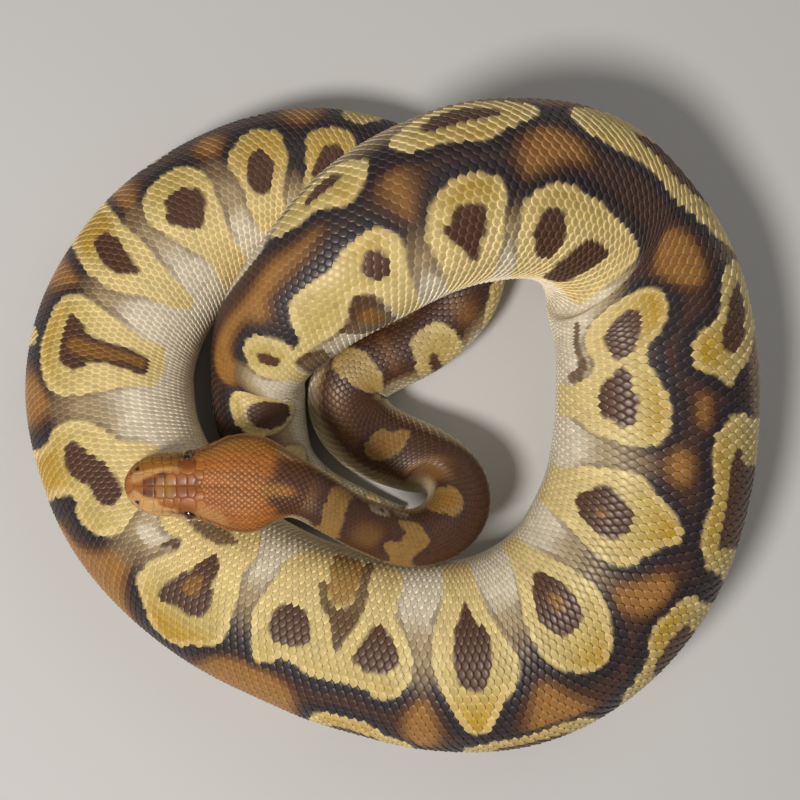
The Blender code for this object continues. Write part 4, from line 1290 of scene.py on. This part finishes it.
def scale_material():
    """Smooth, faintly glossy scales, a little rougher at the rim."""
    look = Look("python_scales", Specular_IOR_Level=0.42, Coat_Weight=0.15, Coat_Roughness=0.2)
    look.paint(900, 0.82, 1.18)
    worn = look.nodes.new("ShaderNodeMath")
    worn.operation = "MULTIPLY_ADD"
    look.links.new(look.attribute("rim", "Fac"), worn.inputs[0])
    worn.inputs[1].default_value = 0.12
    look.links.new(look.noise_between(2200, 0.38, 0.56), worn.inputs[2])
    look.links.new(worn.outputs["Value"], look.shader.inputs["Roughness"])
    look.bump(3500, 0.25, 0.00012)
    return look.material


def skin_material():
    """The soft skin between the scales, in the same markings."""
    look = Look("python_skin")
    look.paint(1400, 0.62, 0.95)
    look.links.new(look.noise_between(2500, 0.55, 0.8), look.shader.inputs["Roughness"])
    look.bump(5200, 0.17, 0.0001)
    return look.material


def eye_material():
    """A wet, glassy eye."""
    look = Look("python_eye", Coat_Weight=1.0, Coat_Roughness=0.02)
    look.paint(1800, 0.7, 1.25)
    look.links.new(look.noise_between(900, 0.03, 0.07), look.shader.inputs["Roughness"])
    return look.material


def floor_material():
    look = Look("pale_floor", Roughness=0.9)
    tone = look.nodes.new("ShaderNodeMix")
    tone.data_type = "RGBA"
    tone.inputs["A"].default_value = (0.58, 0.58, 0.59, 1)
    tone.inputs["B"].default_value = (0.63, 0.63, 0.64, 1)
    look.links.new(look.noise(3.0), tone.inputs["Factor"])
    look.links.new(tone.outputs["Result"], look.shader.inputs["Base Color"])
    return look.material


# ---- The stage ----
CAMERA_HEIGHT = 0.55


def add_stage():
    """A plain pale floor, a hair under the belly so that no two faces lie in one plane."""
    mesh = bpy.data.meshes.new("floor")
    half = 1.6
    corners = [(-half, -half, 0), (half, -half, 0), (half, half, 0), (-half, half, 0)]
    mesh.from_pydata(corners, [], [(0, 1, 2, 3)])
    mesh.materials.append(floor_material())
    floor = bpy.data.objects.new("floor", mesh)
    floor.location.z = -0.0002
    bpy.context.scene.collection.objects.link(floor)


def add_light(name, place, size, power, colour):
    """A round soft light, aimed at the middle of the floor."""
    light = bpy.data.lights.new(name, "AREA")
    light.shape = "DISK"
    light.size = size
    light.energy = power
    light.color = colour
    lamp = bpy.data.objects.new(name, light)
    lamp.location = place
    lamp.rotation_euler = (-Vector(place)).to_track_quat("-Z", "Y").to_euler()
    bpy.context.scene.collection.objects.link(lamp)


def add_lights():
    """Plain soft studio light: one key, one wide fill and a dim pale sky."""
    add_light("key", (-0.42, -0.30, 0.95), 0.26, 8.8, (1.0, 0.95, 0.87))
    add_light("fill", (0.5, 0.6, 0.9), 0.9, 1.6, (1.0, 0.97, 0.92))
    world = bpy.data.worlds.new("soft_studio")
    bpy.context.scene.world = world
    world.use_nodes = True
    sky = world.node_tree.nodes["Background"]
    sky.inputs["Color"].default_value = (1.0, 0.98, 0.95, 1)
    sky.inputs["Strength"].default_value = 0.16


def add_camera():
    """The photograph's view: from straight above the middle of the coil."""
    camera = bpy.data.cameras.new("camera")
    camera.sensor_width = 36.0
    camera.lens = 67.19
    camera.clip_start = 0.01
    holder = bpy.data.objects.new("camera", camera)
    holder.location = (-COIL_MIDDLE[0] * MM, -COIL_MIDDLE[1] * MM, CAMERA_HEIGHT)
    bpy.context.scene.collection.objects.link(holder)
    bpy.context.scene.camera = holder


def build():
    body = Body()
    hide = skin(body, skin_material())
    flesh = [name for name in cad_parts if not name.startswith("eye")]
    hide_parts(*flesh)
    eyes = eye_places(body)
    scales = scale_material()
    coat(body, Lattice(body), scales)
    scutes(body, scales)
    head_scales(body, eyes, scales)
    wet = eye_material()
    for place in eyes:
        eyeball(body, place, wet)
    add_stage()
    add_lights()
    add_camera()
    bpy.context.scene.view_settings.view_transform = "Standard"


build()
